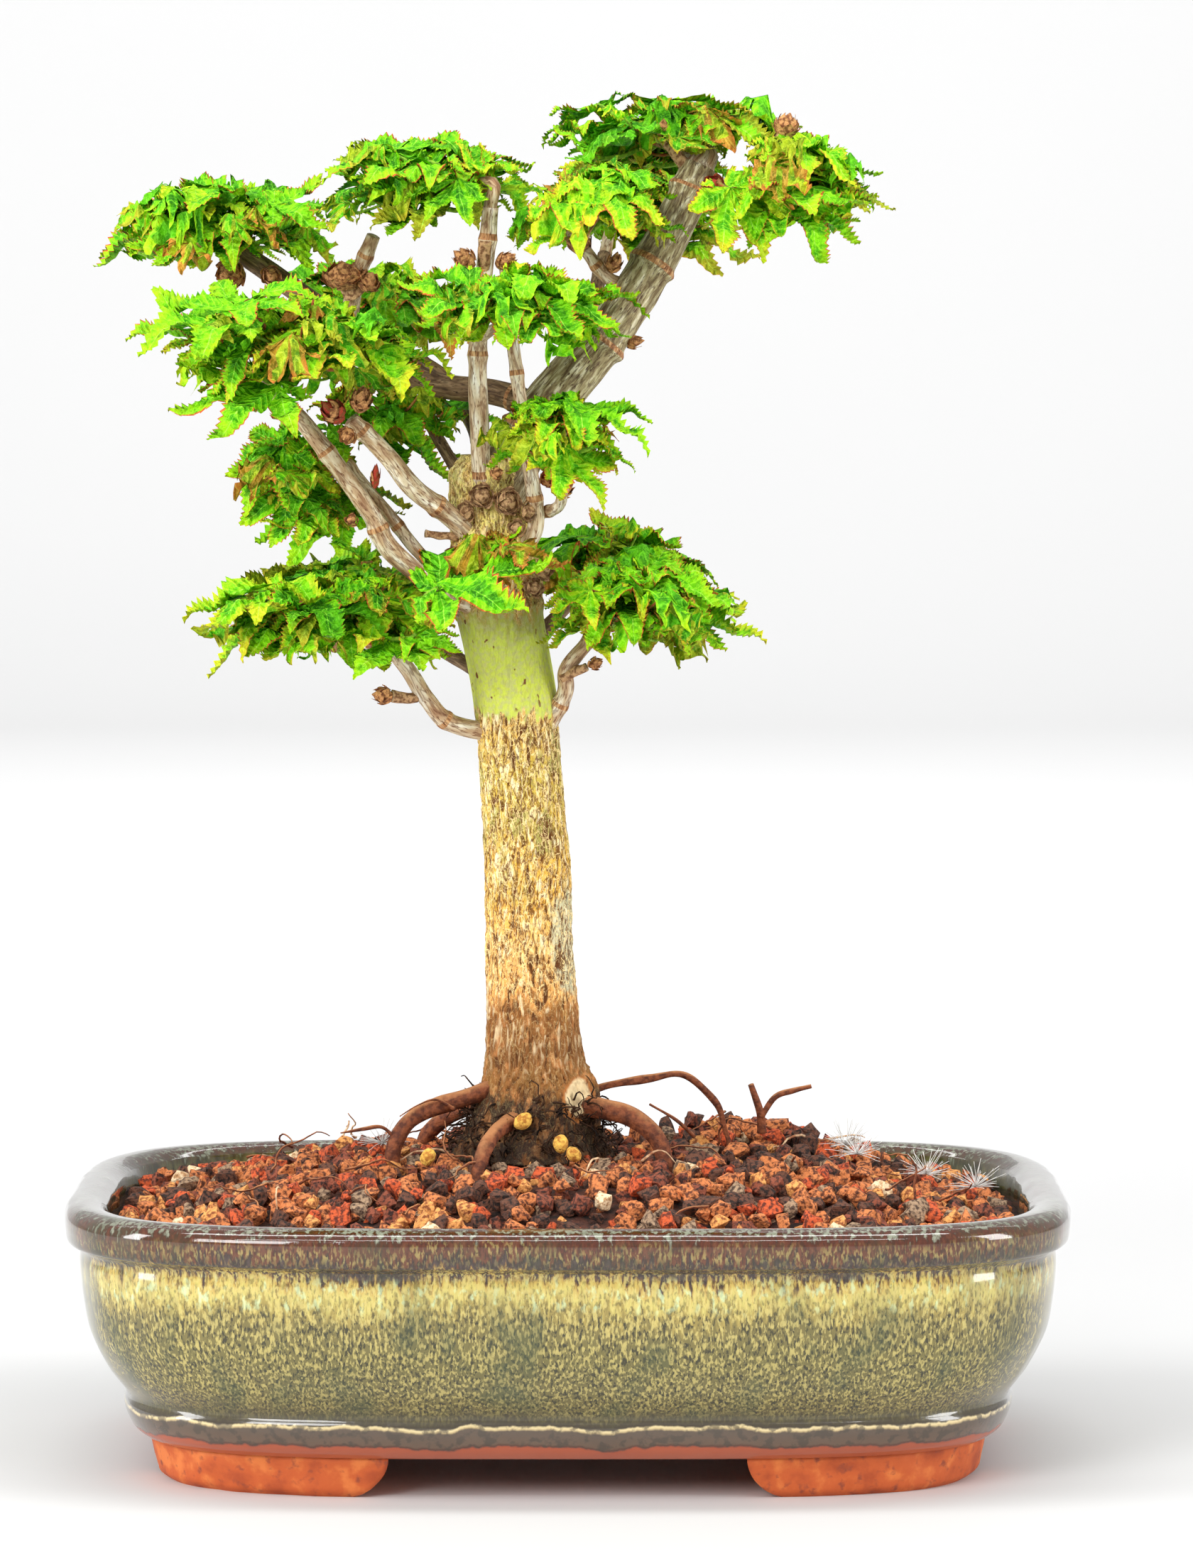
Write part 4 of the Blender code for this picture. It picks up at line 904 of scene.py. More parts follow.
# a darker copy of the bark for the boughs at the back, as painted shade
painted_shade_wood = bark_of("back_bark_painted_shade", (
    (0.34, (96, 70, 48)), (0.50, (130, 102, 72)), (0.66, (168, 140, 104))), (60, 40, 28), 1.2)
pale_wood = bark_of("pale_young_bark", (
    (0.32, (176, 140, 104)), (0.45, (214, 188, 152)), (0.57, (238, 224, 196)),
    (0.70, (255, 248, 234))), (126, 84, 56), 1.6, 0.6)


def swelling(path, radii, seed):
    """The radii with a ring's swelling at each pair of buds, and where those rings are."""
    run = np.concatenate([[0], np.cumsum([(b - a).length for a, b in zip(path, path[1:])])])
    dice = random.Random(seed)
    rings = []
    place = dice.uniform(0.4, 0.9) * BUD_SPACING
    while place < run[-1]:
        rings.append(place)
        radii = radii * (1 + BUD_SWELL * np.exp(-((run - place) / BUD_RING_WIDTH) ** 2))
        place += BUD_SPACING * dice.uniform(0.8, 1.5)
    return radii, run, rings


boughs, bough_grain = Shapes(), []
for seed, (name, points, foot, tip) in enumerate(BOUGHS):
    large = foot > LARGE_FOOT
    path = limb_path(points, 44 if large else 22)
    radii, run, rings = swelling(path, eased(path, foot * MM, tip * MM), seed)
    around = 72 if large else 28
    near_ring = [min((abs(at - r) for r in rings), default=1) < SCAR_REACH for at in run[:-1]]
    # boughs at the back take the darker bark as painted shade
    wood = 0 if large else 3 if "back" in name else 4 if "centre" in name else 1
    slot = np.repeat(np.where(near_ring, 2, wood), around)
    bough_grain.append(add_limb(boughs, path, radii, around, 0.00028 if large else 0.00012,
                                (0.0012, 0.0012, 0.005), slot))
bough_piece = boughs.make("boughs", [old_wood, young_wood, scar_wood, painted_shade_wood, pale_wood],
                          "bough_bark")
keep_grain(bough_piece, bough_grain)
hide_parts(*(row[0] for row in BOUGHS))

# Buds, knobs and pruned stubs, on the boughs and round the trunk's fork: brown papery scales
# round a bud, red where it is about to open, and a ragged pale face where a shoot was cut.
# place, way it points, length, width (mm), scales, colour: 0 brown, 1 red, 3 as the stubs' bark
BUDS = (
    ((3.8, 0, 265), (-0.5, 0.1, 1), 7.0, 4.4, 14, 0), ((9.5, 0, 261), (0.3, -0.4, 1), 5.0, 3.0, 10, 0),
    ((12.4, 0.6, 245.4), (1, -0.3, 0.15), 4.6, 2.6, 9, 0),
    ((2.0, -4, 248), (-0.8, -0.6, 0.4), 3.2, 2.0, 8, 1),
    ((-73, 16, 262), (-0.6, -0.7, -0.4), 6.6, 5.6, 16, 0),
    ((-66, 14, 261), (0.1, -0.8, -0.3), 4.6, 3.6, 12, 0),
    ((-49, -21.5, 229), (-0.6, -0.5, 0.6), 6.4, 4.2, 14, 1),
    ((-45.5, -22, 231), (0.3, -0.6, 0.8), 6.6, 3.8, 12, 0),
    ((-47, -22.5, 226.6), (-0.3, -0.8, -0.4), 4.4, 3.4, 10, 0),
    ((-38.5, -9.5, 168.3), (-1, -0.2, 0.1), 4.6, 3.4, 12, 0),
    ((4.6, -8.5, 175), (0.9, -0.5, 0.3), 3.6, 2.4, 8, 0),
    ((-12.4, -13, 252), (0.8, -0.3, 0.7), 4.2, 2.2, 7, 1),
    ((-5.6, -5, 215), (0.8, -0.6, 0.5), 5.6, 3.6, 12, 1),
    ((-2.6, -11.5, 212.5), (0.8, -0.4, 0.5), 4.8, 3.0, 10, 0),
    ((20.8, 7.5, 291), (-0.1, -0.1, 1), 4.8, 4.0, 14, 0),
    ((33, 3.6, 279), (-0.3, -0.8, 0.2), 6.0, 4.4, 14, 1),
    ((38, 3.2, 279.6), (0.3, -0.8, -0.2), 5.6, 3.8, 12, 0),
    ((42, 3.2, 281), (0.9, -0.4, 0.4), 5.0, 2.8, 10, 0),
    ((-20.6, -14.4, 262), (-0.8, -0.3, 0.7), 5.6, 4.0, 14, 0),
    ((-15.2, -13.4, 262), (0.8, -0.3, 0.6), 5.0, 3.4, 12, 0),
    ((-36.6, -13.8, 215.5), (0.4, -0.7, 0.5), 3.0, 2.4, 8, 0),
    ((-47.5, -12.5, 206.5), (0.2, -0.8, 0.3), 3.4, 2.4, 8, 0),
    ((-42.2, -11.5, 214), (0.1, -0.3, 1), 5.6, 1.9, 6, 1),
    ((-16.8, -11.5, 217), (0.9, -0.4, 0.1), 3.0, 2.4, 8, 0),
    ((47.2, 5, 290.6), (0.3, -0.1, 1), 5.6, 4.6, 18, 0),
    ((-49.4, 11.2, 257.6), (-0.1, -0.3, 1), 6.0, 7.6, 22, 0),
    ((-45.4, 10.6, 257.4), (0.5, -0.4, 0.8), 4.6, 4.8, 14, 0),
    ((-18.5, -8.6, 212), (-0.2, -1, 0.1), 3.4, 4.4, 12, 3),
    ((-13.6, -9.0, 211), (0.3, -1, 0), 3.6, 4.8, 14, 3),
    ((-21.6, -7.2, 208.5), (-0.6, -0.8, 0.1), 3.0, 3.8, 10, 3),
    ((-9.4, -8.0, 209), (0.6, -0.8, -0.1), 3.2, 4.0, 10, 3),
    ((-11.5, -9.0, 205), (0.3, -1, 0.2), 2.6, 3.2, 8, 3),
    ((-6.4, -7.5, 196), (0.6, -0.8, 0.1), 3.4, 4.2, 12, 3),
    ((-7.8, -8.6, 192), (0.4, -1, 0), 2.8, 3.6, 10, 3),
    ((-24.6, -6.4, 198.5), (-0.6, -0.8, 0.2), 3.0, 3.6, 10, 3),
)
# pruned stubs: foot, tip, radius at each (mm)
STUBS = (
    ((44, 5, 283.4), (47.6, 5, 291.6), 2.2, 1.8), ((-47.2, 12.6, 256), (-49, 11.4, 259), 2.6, 2.4),
    ((-24.5, -5, 203), (-31.2, -7.5, 203.9), 1.0, 0.9), ((26.6, 8.6, 283), (21, 7.6, 291), 1.8, 1.4),
    ((-33, -7.6, 168), (-38.6, -9.4, 168.3), 1.2, 1.4),
    ((-1.5, -6.5, 172), (4, -8.4, 174.8), 1.1, 1.0),
    ((-18.2, -10.5, 258), (-18.0, -13.2, 268), 1.5, 1.7),
)
# how far a scale is turned from the one before, and where it lies along the bud
SCALE_TURN, LAST_SCALE_FROM, SCALE_LENGTH = 2.4, 0.62, 0.42
brown_scale = grain_paint("papery_bud_scale", (216, 156, 98), (130, 78, 44))
red_scale = grain_paint("red_bud_scale", (196, 66, 46), (150, 84, 44))
cut_wood = grain_paint("pale_cut_wood", (224, 200, 162), (168, 128, 88))


def scaly_bud(shapes, place, ahead, length, width, scales, colour):
    """A spindle with pointed scales laid round it in a spiral, their tips standing off."""
    ahead = ahead.normalized()
    side = ahead.cross(Vector((0.3, 0.2, 1))).normalized()
    across = ahead.cross(side)
    rise = np.linspace(0, 1, 7)
    spindle = [place + ahead * length * float(u) for u in rise]
    add_limb(shapes, spindle, width * 0.44 * np.sin(np.pi * (0.18 + 0.80 * rise)), 8, slots=colour)
    across_scale = np.linspace(-1, 1, 5)
    for number in range(scales):
        turn = number * SCALE_TURN
        foot_at = LAST_SCALE_FROM * number / scales
        points = []
        for u in np.linspace(0, 1, 5):
            along = foot_at + SCALE_LENGTH * u
            standing = width * (0.47 * math.sin(math.pi * (0.18 + 0.8 * min(along, 1))) + 0.05
                                + 0.16 * u * u)
            for v in across_scale:
                angle = turn + v * 0.75 * (1 - u ** 1.6)
                out = side * math.cos(angle) + across * math.sin(angle)
                points.append(place + ahead * length * along + out * standing * (1 + 0.10 * abs(v)))
        shapes.add([tuple(p) for p in points], strip_quads(5, 5),
                   colour if number % 3 or colour == 3 else 0)


knobs = Shapes()
for place, ahead, length, width, scales, colour in BUDS:
    scaly_bud(knobs, metres(place), Vector(ahead), length * MM, width * MM, scales, colour)
for foot_at, tip_at, foot, tip in STUBS:
    path = [metres(foot_at).lerp(metres(tip_at), t) for t in np.linspace(0, 1, 12)]
    add_limb(knobs, path, eased(path, foot * MM, tip * MM), 20, 0.0004, (0.0016, 0.0016, 0.002),
             slots=3, end=2)
knobs.make("buds_and_stubs", [brown_scale, red_scale, cut_wood,
                              grain_paint("stub_bark", (204, 162, 116), (126, 86, 54))], "bough_bark")

# The leaf masses: each grows on from its bough by one rule. A stem divides into short twigs,
# and each twig carries leaves on stalks that keep to the mass's own space and clear of limbs.
# name, bough, centre and half sizes of the space (mm), leaves, first direction, seed
MASSES = (
    ("leaves_upper_left", "bough_back_left", (-78, 17, 270), (25, 26, 13), 8, 180, 11),
    ("leaves_upper_centre", "bough_centre_left", (-29, -2, 279), (25, 27, 13), 8, 200, 12),
    ("leaves_upper_right", "bough_right_spur", (6, -13, 272), (21, 21, 13), 7, 300, 14),
    ("leaves_crown_top", "bough_right", (22, 15, 289), (29, 25, 12), 9, 90, 16),
    ("leaves_crown_right", "bough_crown_right", (48, 0, 277), (20, 25, 16), 8, 340, 17),
    ("leaves_left_front", "bough_left_long", (-57, -22, 243), (32, 25, 15), 10, 180, 18),
    ("leaves_left_hanging", "bough_left_twin", (-57, 4, 213), (18, 23, 18), 6, 170, 20),
    ("leaves_centre_front", "bough_front_spur", (-9, -29, 251), (24, 21, 12), 7, 300, 21),
    ("leaves_centre_back", "bough_back_short", (-38, 19, 228), (19, 20, 14), 5, 150, 42),
    ("leaves_right_short", "bough_right_short", (-2, -26, 222), (17, 17, 14), 6, 300, 23),
    ("leaves_low_left", "bough_low_left", (-51, -12, 183), (28, 25, 15), 8, 180, 24),
    ("leaves_trunk_front", "bough_front_short", (-19, -27, 198), (20, 15, 10), 2, 350, 25),
    ("leaves_low_right", "bough_low_right", (15, -9, 186), (24, 25, 15), 8, 0, 26),
    ("leaves_back_left", "bough_back_high", (-45, 48, 250), (26, 24, 15), 7, 160, 27),
    ("leaves_back_right", "bough_back_right", (12, 52, 275), (26, 22, 14), 7, 40, 28),
    ("leaves_back_low", "bough_back_low", (10, 37, 191), (26, 22, 14), 6, 20, 29),
    ("leaves_back_low_left", "bough_back_low_left", (-52, 35, 186), (26, 21, 14), 6, 170, 30),
)
LIMB_CLEAR = CLEAR * 1.4
# how far (squared) leaves may reach in their own space, how much farther they are from any
# other's, and their gap to limbs
SPACE_OVER, SPACE_APART, LIMB_GAP = 1.25, 0.05, 0.0009
LEAF_TRIES, LEAF_LENGTH, TRY_SHRINK = 120, (0.020, 0.026), 0.0045
TWIG_REACH, TWIG_HEIGHTS, LEAVES_PER_TWIG = 0.15, (0.6, -0.5), 3
LEAF_SIDES, LEADER_REACH, SIDE_REACH = (0.0, -0.95, 0.95), (0.50, 0.80), (0.20, 0.75)
LEAF_MIDDLE, HEADING_SPREAD, HEIGHT_SPREAD = 0.40, 0.35, 0.35
LEAF_TILT, LEAF_JITTER, LEAF_TURN, LEAF_DROOP = (0.15, 0.55), 0.22, 1.2, (0.06, 0.24)
LEAF_PROBES, ROOT_BELOW, ROOT_SPACING, CLEAR_OF_ROOT = (0.35, 0.7, 1.0), -0.0005, 0.25, 0.35
LEAF_THICKNESS, STALK_RADIUS, TWIG_RADIUS, STEM_SHARE, STEM_KNEE = 0.0006, 0.0005, 0.0011, 0.92, 0.3
GOLDEN_ANGLE = math.radians(137.5)
# lobes: angle from the middle lobe, reach as a share of the leaf's length, sides with a shoulder
LOBES = ((-88, 0.70, ()), (-43, 0.92, ()), (0, 1.0, (-1, 1)), (43, 0.92, ()), (88, 0.70, ()))
LOBE_SHOULDER, NOTCH_REACH, HEEL, HEART = (13, 0.60), 0.46, (145, 0.22), (0.24, 0.02)
# leaves that stand out from the masses: where the blade begins and where its tip is (mm)
OUTER_LEAVES = {
    "leaves_upper_left": (((-81, 8, 272), (-99, 7, 266)), ((-65, 6, 275), (-47.5, 6, 277))),
    "leaves_left_front": (((-67, -28, 247), (-85, -30, 240)), ((-62, -30, 236), (-87, -31, 232.5))),
    "leaves_crown_top": (((5, 8, 288), (-3, 6, 294)),),
    "leaves_crown_right": (
        ((51, -2, 284), (66, -3, 280)), ((48, -8, 276), (66, -9, 267)),
        ((35, -14, 279), (46, -19, 264))),
    "leaves_low_right": (
        ((20, -12, 193), (37, -14, 181)), ((17, -16, 196), (34, -20, 189.5)),
        ((5, -24, 192), (-4, -30, 186))),
    "leaves_low_left": (
        ((-59, -14, 186.5), (-79, -16, 184)), ((-55, -20, 187), (-63, -26, 179)),
        ((-33, -26, 183), (-22, -30, 181))),
    "leaves_centre_front": (((-7, -36, 256), (12, -38, 250.5)), ((-20, -36, 256.5), (-38, -38, 258))),
    "leaves_right_short": (((-1.5, -30, 223), (9.5, -34, 211)),),
    "leaves_left_hanging": (((-62, 0, 223), (-74, -4, 209)), ((-60, -2, 214.5), (-64, -6, 199))),
    "leaves_upper_centre": (((-17, -8, 281), (-24, -10, 289.5)), ((-32, -6, 276.5), (-47, -8, 272))),
    "leaves_trunk_front": (((-28, -36, 193.5), (-1, -38, 201)),),
}
OUTER_FACING = Vector((0, -0.5, 1))
# the finer leaves of each mass, in three sorts: name, share of all, length as a share of a large
# leaf's, height and reach in the space, how far apart, how far (squared) their tips may reach
FINE_SORTS = (("spread", 0.10, (1.00, 1.25), (0.00, 0.35), (0.55, 0.95), 0.0085, 1.4),
              ("grown", 0.22, (0.70, 1.05), (0.00, 0.45), (0.05, 0.80), 0.0065, 1.15),
              ("young", 0.68, (0.26, 0.52), (-0.10, 0.70), (0.10, 0.95), 0.0030, 1.25))
FINE_ROOM = 3.0e-6       # the space, in cubic metres, that each finer leaf has
FINE_PROBES = (0.35, 0.78)
FINE_TOP = 0.2985        # none of them stands higher
FINE_ASIDE = 0.5         # they point more to the sides than to front and back
FINE_TRIES = 90
FINE_TILT = 0.45         # how much less they face outward
FINE_SIDEWAYS = 0.8      # how far (radians) the spread ones turn from straight to the sides
FINE_ROOTS = (0, 0.6)    # how far back along the twig they begin
LIGHT_LEAN = Vector((0.0, -0.30, 0.0))    # they lean a little to the light in front


def segments_of(path, radii):
    """A limb as straight pieces: both ends and the larger radius."""
    return [(np.array(a), np.array(b), max(radii[i], radii[i + 1]))
            for i, (a, b) in enumerate(zip(path, path[1:]))]


def clear_of(points, segments):
    """True if every point is well outside every limb piece."""
    for a, b, radius in segments:
        along = b - a
        t = np.clip((points - a) @ along / (along @ along), 0.0, 1.0)
        if np.min(np.linalg.norm(points - a - t[:, None] * along, axis=1)) < radius + LIMB_GAP:
            return False
    return True


def in_own_space(points, index, over=SPACE_OVER):
    """True if every point is inside the mass's space and nearer to it than to another."""
    reach = [(((points - np.array(mass[2]) * MM) / (np.array(mass[3]) * MM)) ** 2).sum(axis=1)
             for mass in MASSES]
    own = reach.pop(index)
    return own.max() <= over and np.all(own + SPACE_APART <= np.min(reach, axis=0))


def leaf_outline(length, droop):
    """The blade's edge in its own frame: x along the middle lobe, z across the blade."""
    polar = [(-HEEL[0], HEEL[1]), HEEL]
    for angle, reach, shoulders in LOBES:
        polar.append((angle, reach))
        polar += [(angle + side * LOBE_SHOULDER[0], reach * LOBE_SHOULDER[1]) for side in shoulders]
    polar += [((a[0] + b[0]) / 2, NOTCH_REACH * (a[1] + b[1]) / 2) for a, b in zip(LOBES, LOBES[1:])]
    return [(length * reach * math.cos(math.radians(angle)),
             length * reach * math.sin(math.radians(angle)), -droop * length * reach ** 2)
            for angle, reach in sorted(polar)]


def edge_of(leaf):
    """A blade's edge, where the blade is."""
    base, forward, normal, length, droop = leaf
    side = normal.cross(forward)
    return [base + x * forward + y * side + z * normal for x, y, z in leaf_outline(length, droop)]


def probes_of(leaf, shares):
    """Places on a blade, at shares of the way from its base to its edge."""
    return np.array([tuple(leaf[0] + (p - leaf[0]) * share) for p in edge_of(leaf)
                     for share in shares])


def draw_leaf(dice, centre, half, heading, climb, reaches, shrink, tilt=1.0, light=Vector(),
              aside=1.0):
    """One leaf drawn by the rule: it spreads outward near the level, lower leaves tilting more."""
    azimuth = heading + dice.uniform(-HEADING_SPREAD, HEADING_SPREAD)
    reach = dice.uniform(*reaches)
    height = climb + dice.uniform(-HEIGHT_SPREAD, HEIGHT_SPREAD)
    out = Vector((math.cos(azimuth), math.sin(azimuth), 0.0))
    middle = centre + Vector((out.x * half.x * reach, out.y * half.y * reach, half.z * height))
    lean = Vector([dice.uniform(-LEAF_JITTER, LEAF_JITTER) for _ in range(3)])
    outward = out * dice.uniform(*LEAF_TILT) * (1 - height) * tilt
    normal = (outward + Vector((0, 0, 1)) + lean + light).normalized()
    turn = azimuth + dice.uniform(-LEAF_TURN, LEAF_TURN)
    ahead = Vector((math.cos(turn), math.sin(turn) * aside, 0.0))
    forward = (ahead - normal * ahead.dot(normal)).normalized()
    length = dice.uniform(*LEAF_LENGTH) * shrink
    return middle - LEAF_MIDDLE * length * forward, forward, normal, length, dice.uniform(*LEAF_DROOP)


def heel_of(leaf):
    """The back of a blade, where its stalk joins it."""
    return leaf[0] - leaf[1] * HEEL[1] * leaf[3]


def heart_of(leaf):
    """The middle of a blade."""
    return np.array(leaf[0] + leaf[1] * leaf[3] * LEAF_MIDDLE)


def leaf_skin(leaf, root):
    """A plain lobed blade drawn out into its stalk, to tell whether two leaves would cross."""
    base, forward, normal, length, _ = leaf
    edge = edge_of(leaf)
    half = normal * LEAF_THICKNESS / 2
    heart = base + HEART[0] * length * forward + HEART[1] * length * normal
    count = len(edge)
    verts = [p + half for p in edge] + [p - half for p in edge] + [heart + half, heart - half]
    faces = [(count - 1, 0, 2 * count), (count, 2 * count - 1, 2 * count + 1)]
    for i in range(count - 1):
        faces += [(i, i + 1, 2 * count), (count + i + 1, count + i, 2 * count + 1),
                  (i, count + i, count + i + 1, i + 1)]
    ahead = (heel_of(leaf) - root).normalized()
    side = normal.cross(forward)
    side = (side - ahead * side.dot(ahead)).normalized()
    above = ahead.cross(side)
    start = len(verts)
    verts += [root + STALK_RADIUS * (a * side + b * above)
              for a, b in ((1, 1), (-1, 1), (-1, -1), (1, -1))]
    ring = [count - 1, 0, count, 2 * count - 1]
    faces += [(ring[i], ring[(i + 1) % 4], start + (i + 1) % 4, start + i) for i in range(4)]
    return verts, faces + [tuple(range(start, start + 4))]


def twig_ends(index):
    """Where a mass's twigs end, round its stem by the golden angle and one above another."""
    _, _, centre, half, count, first, _ = MASSES[index]
    twigs = math.ceil(count / LEAVES_PER_TWIG)
    ends = []
    for t in range(twigs):
        heading = math.radians(first) + t * GOLDEN_ANGLE
        climb = TWIG_HEIGHTS[0] + (TWIG_HEIGHTS[1] - TWIG_HEIGHTS[0]) * (t + 0.5) / twigs
        reach = Vector((math.cos(heading) * half[0], math.sin(heading) * half[1], 0.0)) * TWIG_REACH
        ends.append((metres(centre) + (reach + Vector((0, 0, climb * half[2]))) * MM, heading, climb))
    return ends


def stem_start(bough):
    """Where a mass's stem begins: just clear of its bough's tip."""
    points, tip = next((row[1], row[3]) for row in BOUGHS if row[0] == bough)
    path = limb_path(points)
    direction = (path[-1] - path[-2]).normalized()
    return path[-1] + direction * LIMB_CLEAR, tip * MM * STEM_SHARE, direction


def grow_mass(index, limbs):
    """Stem, twigs and leaves of one mass by the seeded rule, then the finer leaves between."""
    name, bough, centre, half, count, _, seed = MASSES[index]
    dice = random.Random(seed)
    centre, half = metres(centre), metres(half)
    start, radius, direction = stem_start(bough)
    knee = start + direction * STEM_KNEE * (centre - start).length
    stem = [start, start + direction * 2 * CLEAR, *smooth_path([knee, centre], 2)]
    others = [s for limb, segments in limbs.items() if limb != name for s in segments]
    ends = [twig for twig in twig_ends(index)
            if clear_of(np.array([centre.lerp(twig[0], share) for share in LEAF_PROBES]), others)]
    others += limbs[name]
    others += [s for end, _, _ in ends for s in segments_of([centre, end], [TWIG_RADIUS] * 2)]
    placed, leaves = [], []
    for end, heading, climb in ends:
        stalks = 0
        for side in LEAF_SIDES:
            if len(placed) == count:
                break
            for attempt in range(LEAF_TRIES):
                leaf = draw_leaf(dice, centre, half, heading + side, climb,
                                 SIDE_REACH if side else LEADER_REACH, 1 - TRY_SHRINK * attempt)
                probe = probes_of(leaf, LEAF_PROBES)
                if (end - leaf[0]).dot(leaf[2]) > ROOT_BELOW or not in_own_space(probe, index):
                    continue
                root = end.lerp(centre, ROOT_SPACING * stalks)
                tree = BVHTree.FromPolygons(*leaf_skin(leaf, root.lerp(heel_of(leaf), CLEAR_OF_ROOT)))
                if clear_of(probe, others) and not any(tree.overlap(other) for other in placed):
                    placed.append(tree)
                    leaves.append((leaf, root, "large"))
                    stalks += 1
                    break
    for at, tip in OUTER_LEAVES.get(name, ()):
        base, forward = metres(at), (metres(tip) - metres(at)).normalized()
        normal = (OUTER_FACING - forward * OUTER_FACING.dot(forward)).normalized()
        nearest = min(ends, key=lambda row: (row[0] - base).length)[0]
        leaves.append(((base, forward, normal, (metres(tip) - metres(at)).length, LEAF_DROOP[0]), nearest,
                       "outer"))
    hearts = [heart_of(leaf) for leaf, *_ in leaves]
    room = half.x * half.y * half.z * 8 / FINE_ROOM if count > 3 else 2
    for sort, share, sizes, climbs, reaches, apart, over in FINE_SORTS:
        for fine in range(round(room * share)):
            end = ends[fine % len(ends)][0]
            for attempt in range(FINE_TRIES):
                heading = dice.uniform(0, 2 * math.pi)
                if sort == "spread":
                    heading = dice.choice((0, math.pi)) + dice.uniform(-FINE_SIDEWAYS, FINE_SIDEWAYS)
                leaf = draw_leaf(dice, centre, half, heading, dice.uniform(*climbs),
                                 reaches, dice.uniform(*sizes), FINE_TILT, LIGHT_LEAN, FINE_ASIDE)
                heart, probe = heart_of(leaf), probes_of(leaf, FINE_PROBES)
                if (min(np.linalg.norm(heart - other) for other in hearts) > apart
                        and probe[:, 2].max() < FINE_TOP and in_own_space(probe, index, over)
                        and clear_of(probe, others)):
                    hearts.append(heart)
                    leaves.append((leaf, end.lerp(centre, dice.uniform(*FINE_ROOTS)), sort))
                    break
    return stem, radius, ends, leaves


limbs = {"trunk": segments_of([Vector((lean, 0, height)) * MM for height, lean, _ in TRUNK],
                              [row[2] * MM for row in TRUNK])}
for name, points, foot, tip in BOUGHS:
    path = limb_path(points)
    limbs[name] = segments_of(path, eased(path, foot * MM, tip * MM))
for name, bough, centre, *_ in MASSES:
    start, radius, _ = stem_start(bough)
    limbs[name] = segments_of([start, metres(centre)], [radius, radius])
grown = [grow_mass(index, limbs) for index in range(len(MASSES))]

# The leaf blades: cut to five broad toothed lobes and two small ones at the heel, crinkled
# between their side veins, with pale ribs and rust-coloured teeth. Young ones are crumpled.
BLADE_KINDS, YOUNG_KINDS = 16, 10
HEEL_LOBES = ((-128, 0.38), (128, 0.38))
WEB_REACH = 0.41         # where the notches between the lobes end, as a share of the length
LOBE_SPREAD = math.radians(22.5)
LOBE_TEETH, HEEL_TEETH = (10, 4), (5, 2)        # down each side, on a grown and on a young leaf
LOBE_BEND, LOBE_CURL, LOBE_FOLD = (-0.30, 0.30), (-0.12, 0.28), (-0.15, 0.55)
TOOTH_CUT, TOOTH_REACH = (0.03, 0.14), 0.028
CRUMPLE_SIZE, CRUMPLE_UP, CRUMPLE_ASIDE, CUPPING = 0.30, 0.42, 0.14, 0.30
ACROSS = np.array((-1, -0.90, -0.45, -0.04, 0.04, 0.45, 0.90, 1))
YOUNG_ACROSS = np.array((-1, -0.5, 0, 0.5, 1))
INNER, OUTER, RIB, TEETH = 0, 1, 2, 3


def lobe_strip(angle, reach, spread, across, web_rows, teeth, dice):
    """One lobe as rows across its rib: points, faces, what each face is, how far out points are."""
    web = WEB_REACH * min(1.0, reach / 0.9)
    rows = list(np.linspace(0, web, web_rows + 1)[:-1]) + list(np.linspace(web, reach, 2 * teeth + 1))
    bend, curl = dice.uniform(*LOBE_BEND), dice.uniform(*LOBE_CURL)
    wave, fold = dice.uniform(0, 6.28), dice.uniform(*LOBE_FOLD)
    points, kinds, marks = [], [], []
    for i, r in enumerate(rows):
        u = max(0.0, (r - web) / (reach - web))
        width = r * math.tan(spread) if i <= web_rows else (
            web * math.tan(spread) * (1 - u) ** 0.95 * (0.96 + 1.55 * u))
        tooth = (i - web_rows) % 2 if i > web_rows else 0
        cut = dice.uniform(*TOOTH_CUT)
        width = max(width, 0.006) * (1.0 if i <= web_rows else 1 + (cut if tooth else -cut)
                                     + 0.13 * math.sin(wave + 9 * u))
        for s in across:
            along = r + (TOOTH_REACH * abs(s) if tooth else 0)
            aside = s * width + bend * u * u * (reach - web) * 0.6
            up = (fold * abs(s) * width - curl * u ** 2 * reach + 0.04 * math.sin(wave + 7 * u)
                  + 0.016 * (abs(s) > 0.3) * (1 if tooth else -1) * (i > 1))
            marks.append((r, abs(s) * width, max(0.45 + 0.55 * u, 0.45 + 0.55 * s * s * min(1, 3 * u))
                          if u else 0.45 * r / web))
            x, y = math.cos(math.radians(angle)), math.sin(math.radians(angle))
            points.append((along * x - aside * y, along * y + aside * x, up))
        for column in range(len(across) - 1 if i else 0):
            middle = abs(across[column] + across[column + 1]) / 2
            kinds.append(TEETH if middle > 0.9 and i > web_rows + 1 else RIB if middle < 0.02 and u < 0.9
                         else OUTER if middle > 0.5 or u > 0.7 else INNER)
    return np.array(points), strip_quads(len(rows), len(across)), kinds, marks


